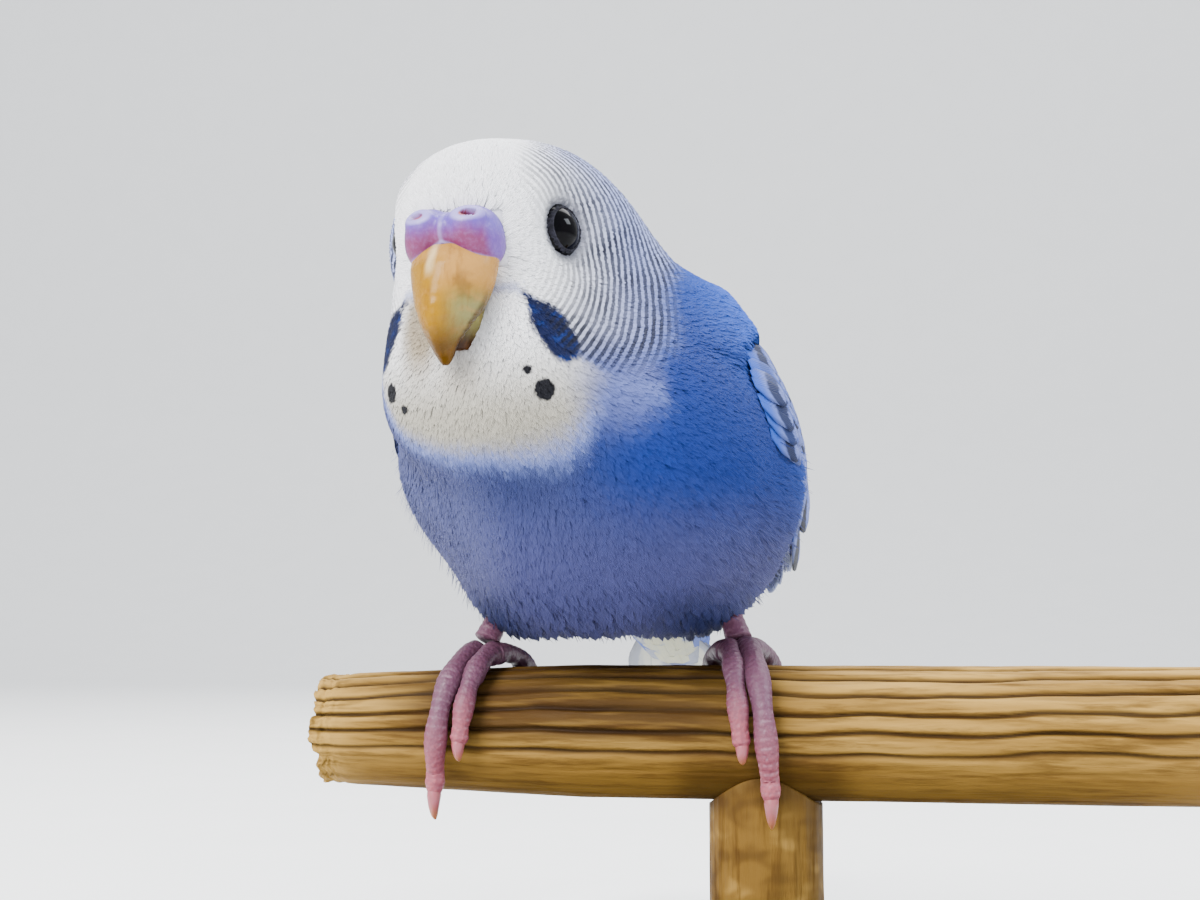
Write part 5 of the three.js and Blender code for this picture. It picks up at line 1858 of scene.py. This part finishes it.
def bar_colour(x, angles, upper, ridge, groove, fibre):
    gold = smooth(-0.3, 0.8, round_noise(angles, 5.0, x * 0.04, seed=12))
    # Middle of the bar's upper side, under the bird: painted shadow of the bird with some stain, broken up
    # by the grain.
    middle = smooth(-26, -16, x) * smooth(26, 8, x) * smooth(-0.35, 0.1, np.sin(angles))
    stain_and_shade_grain = 0.86 + 0.14 * smooth(0.95, 0.3, ridge) - 0.25 * smooth(0.0, 0.8, fibre)
    # Underside of the bar near the post: painted shade where bar and post meet.
    joint = smooth(11, 6.5, np.abs(x - 17.4)) * smooth(0.1, -0.7, np.sin(angles))
    return paint(
        WOOD_TAN, fibre.shape + (3,),
        ((0.25 + 0.5 * gold) * upper, WOOD_PALE),
        (smooth(8, 1, x - PERCH_START) * 0.8, WOOD_PALE),
        # Painted shadow under the bird, with some stain.
        (np.clip(1.1 * middle * stain_and_shade_grain, 0, 1), WOOD_STAIN_AND_SHADE),
        (np.clip(groove * 1.3, 0, 1) * 0.92, WOOD_DARK),
        (smooth(0.1, 0.9, -fibre) * 0.35, WOOD_STAIN_AND_SHADE),
        # Painted shade on the bar's underside at the post.
        (joint * 0.75, WOOD_STAIN_AND_SHADE))


def build_perch():
    t, x, angles = bar_places()
    grooves = bar_grooves(x, angles)
    rings = bar_rings(t, x, angles, *grooves)
    piece = tube_object("perch_bar_wood", rings, wood_look("perch_wood", (0.10, 1.0, 1.0)), "perch_wood")
    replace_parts(piece, "perch_bar")
    give_tint(piece, bar_colour(x, angles, *grooves))


def build_post():
    """Post, its top cut to the round of the bar"""
    look = wood_look("post_wood", (1.0, 1.0, 0.10))
    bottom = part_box("perch_post")[0].z * 1000
    angles = angles_round(120)[None, :]
    t = np.linspace(0, 1, 60)[:, None]
    y = POST_RADIUS * np.sin(angles)
    saddle = BIRD_PLACE[2] - PERCH_RADIUS - np.sqrt((PERCH_RADIUS + GAP) ** 2 - y ** 2)
    z = lerp(bottom, saddle, t)
    r = POST_RADIUS - 0.07 + 0.07 * round_noise(angles, 9.0, z * 0.05)
    r = r - 0.25 * (1 - smooth(0.0, 0.03, t))
    rings = np.stack([r * np.cos(angles), r * np.sin(angles), z + 0 * r], -1)
    piece = tube_object("perch_post_wood", rings, look, "perch_wood", in_bird=False)
    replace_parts(piece, "perch_post")
    patch = round_noise(angles, 2.0, z * 0.35, seed=3)
    give_tint(piece, paint(
        WOOD_TAN, rings.shape,
        (0.2 + smooth(0.0, 0.9, patch) * 0.5, WOOD_STAIN_AND_SHADE),
        (smooth(0.2, 0.9, -patch) * 0.45, WOOD_PALE),
        # Top of the post, under the bar: painted shade.
        (smooth(0.78, 0.97, t) * 0.7, WOOD_STAIN_AND_SHADE)))


def stand_piece(name, node, profile, columns, look, slot):
    """One turned piece of the stand in place of its node"""
    rings = turned_rings(profile, np.zeros(3), STAND_AXIS, columns)
    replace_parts(tube_object(name, rings, look, slot, in_bird=False), node)


def build_stand():
    """Turned base and rod, rounder than the solids and with a soft edge"""
    low, high = (v * 1000 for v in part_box("stand_base"))
    radius, top = (high.x - low.x) / 2, high.z
    profile = [(0.5, 0.0), (radius - 0.8, 0.0), (radius - 0.2, 0.25), (radius, 0.9)]
    profile += [(radius - BASE_ROUND + BASE_ROUND * math.cos(a), top - BASE_ROUND + BASE_ROUND * math.sin(a))
                for a in np.linspace(0, math.pi / 2, 9)]
    profile += [(radius * k, top) for k in (0.85, 0.6, 0.3, 0.02)]
    stand_piece("stand_base_disc", "stand_base", profile, 180, base_look(), "stand_black")
    low, high = (v * 1000 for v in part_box("stand_rod"))
    radius = (high.x - low.x) / 2
    heights = np.linspace(low.z, high.z, 30)
    ends = np.minimum(heights - low.z, high.z - heights)
    profile = [(radius - 0.3 * (1 - min(end / 0.3, 1)), z) for end, z in zip(ends, heights)]
    stand_piece("stand_rod_turned", "stand_rod", profile, 96, steel_look(), "stand_steel")


# Floor, light and camera, in metres

FLOOR_FRONT = -1.5
FLOOR_HALF = 3.0
SWEEP_START = 1.2
SWEEP_RADIUS = 0.8
WALL_HEIGHT = 3.0
WORLD_COLOUR = (0.92, 0.95, 1.0, 1)
WORLD_STRENGTH = 1.48
LIGHT_AIM = (-0.02, 0.0, 0.07)
# Lamps: name, place, size, power and colour
LIGHTS = [
    ("key", (-0.5, -0.75, 0.75), 0.6, 31.0, (1.0, 0.99, 0.97)),
    ("top", (0.1, 0.35, 0.9), 0.7, 15.0, (1.0, 1.0, 1.0)),
    ("window", (0.75, -0.05, 0.60), 0.30, 8.0, (0.86, 0.93, 1.0)),
]


def build_stage():
    """Floor that rises to a wall in one sweep"""
    look = Look("floor", Roughness=0.85)
    grain = look.noise(30.0, 3.0)
    look.colour(look.mix(grain, srgb(232, 233, 233), srgb(238, 238, 238)))
    rows = []
    for s in np.linspace(0, 1, 60):
        a = max(s - 0.5, 0) * math.pi
        flat = (lerp(FLOOR_FRONT, SWEEP_START, s * 2), 0.0)
        bent = (SWEEP_START + SWEEP_RADIUS * math.sin(a), SWEEP_RADIUS - SWEEP_RADIUS * math.cos(a))
        rows.append(flat if s < 0.5 else bent)
    rows.append((SWEEP_START + SWEEP_RADIUS, WALL_HEIGHT))
    points = np.array([[x, y, z] for y, z in rows for x in (-FLOOR_HALF, FLOOR_HALF)]) / MM
    faces = grid_faces(len(rows), 2)[:, ::-1]
    floor = make_object("floor", points, faces, look.material, in_bird=False, body=None)


def add_light(name, place, size, power, colour):
    """Square lamp that points at the bird"""
    data = bpy.data.lights.new(name, "AREA")
    data.size = size
    data.energy = power
    data.color = colour
    made = bpy.data.objects.new(name, data)
    made.location = place
    made.rotation_euler = (Vector(LIGHT_AIM) - Vector(place)).to_track_quat("-Z", "Y").to_euler()
    bpy.context.scene.collection.objects.link(made)


def build_lights():
    world = bpy.data.worlds.new("studio")
    world.use_nodes = True
    background = world.node_tree.nodes["Background"]
    background.inputs[0].default_value = WORLD_COLOUR
    background.inputs[1].default_value = WORLD_STRENGTH
    bpy.context.scene.world = world
    for lamp in LIGHTS:
        add_light(*lamp)


# Camera in the bird's frame, in millimetres and degrees
CAMERA_LENS = 51
CAMERA_DISTANCE = 185.0
CAMERA_YAW = 9.5
CAMERA_PITCH = 6.0
CAMERA_SIDE = -0.33
CAMERA_HEIGHT = 3.8


def build_camera():
    yaw, pitch = math.radians(CAMERA_YAW), math.radians(CAMERA_PITCH)
    right = np.array([math.cos(yaw), math.sin(yaw), 0])
    level = np.array([-math.sin(yaw), math.cos(yaw), 0])
    forward = level * math.cos(pitch) + np.array([0, 0, math.sin(pitch)])
    up = -level * math.sin(pitch) + np.array([0, 0, math.cos(pitch)])
    place = -level * CAMERA_DISTANCE + right * CAMERA_SIDE + np.array([0, 0, CAMERA_HEIGHT])
    data = bpy.data.cameras.new("camera")
    data.lens = CAMERA_LENS
    data.sensor_width = 36
    data.clip_start = 0.01
    camera = bpy.data.objects.new("camera", data)
    turn = Matrix([[right[k], up[k], -forward[k]] for k in range(3)])
    camera.matrix_world = Matrix.Translation(Vector((place + BIRD_PLACE) * MM)) @ turn.to_4x4()
    bpy.context.scene.collection.objects.link(camera)
    bpy.context.scene.camera = camera


build_camera()
build_lights()
build_stage()
body_grid = skin_grid()
skin_piece(body_grid)
grow_plumage(body_grid)
build_wings()
build_tail()
build_cere()
build_bill()
build_eyes()
build_feet()
build_perch()
build_post()
build_stand()
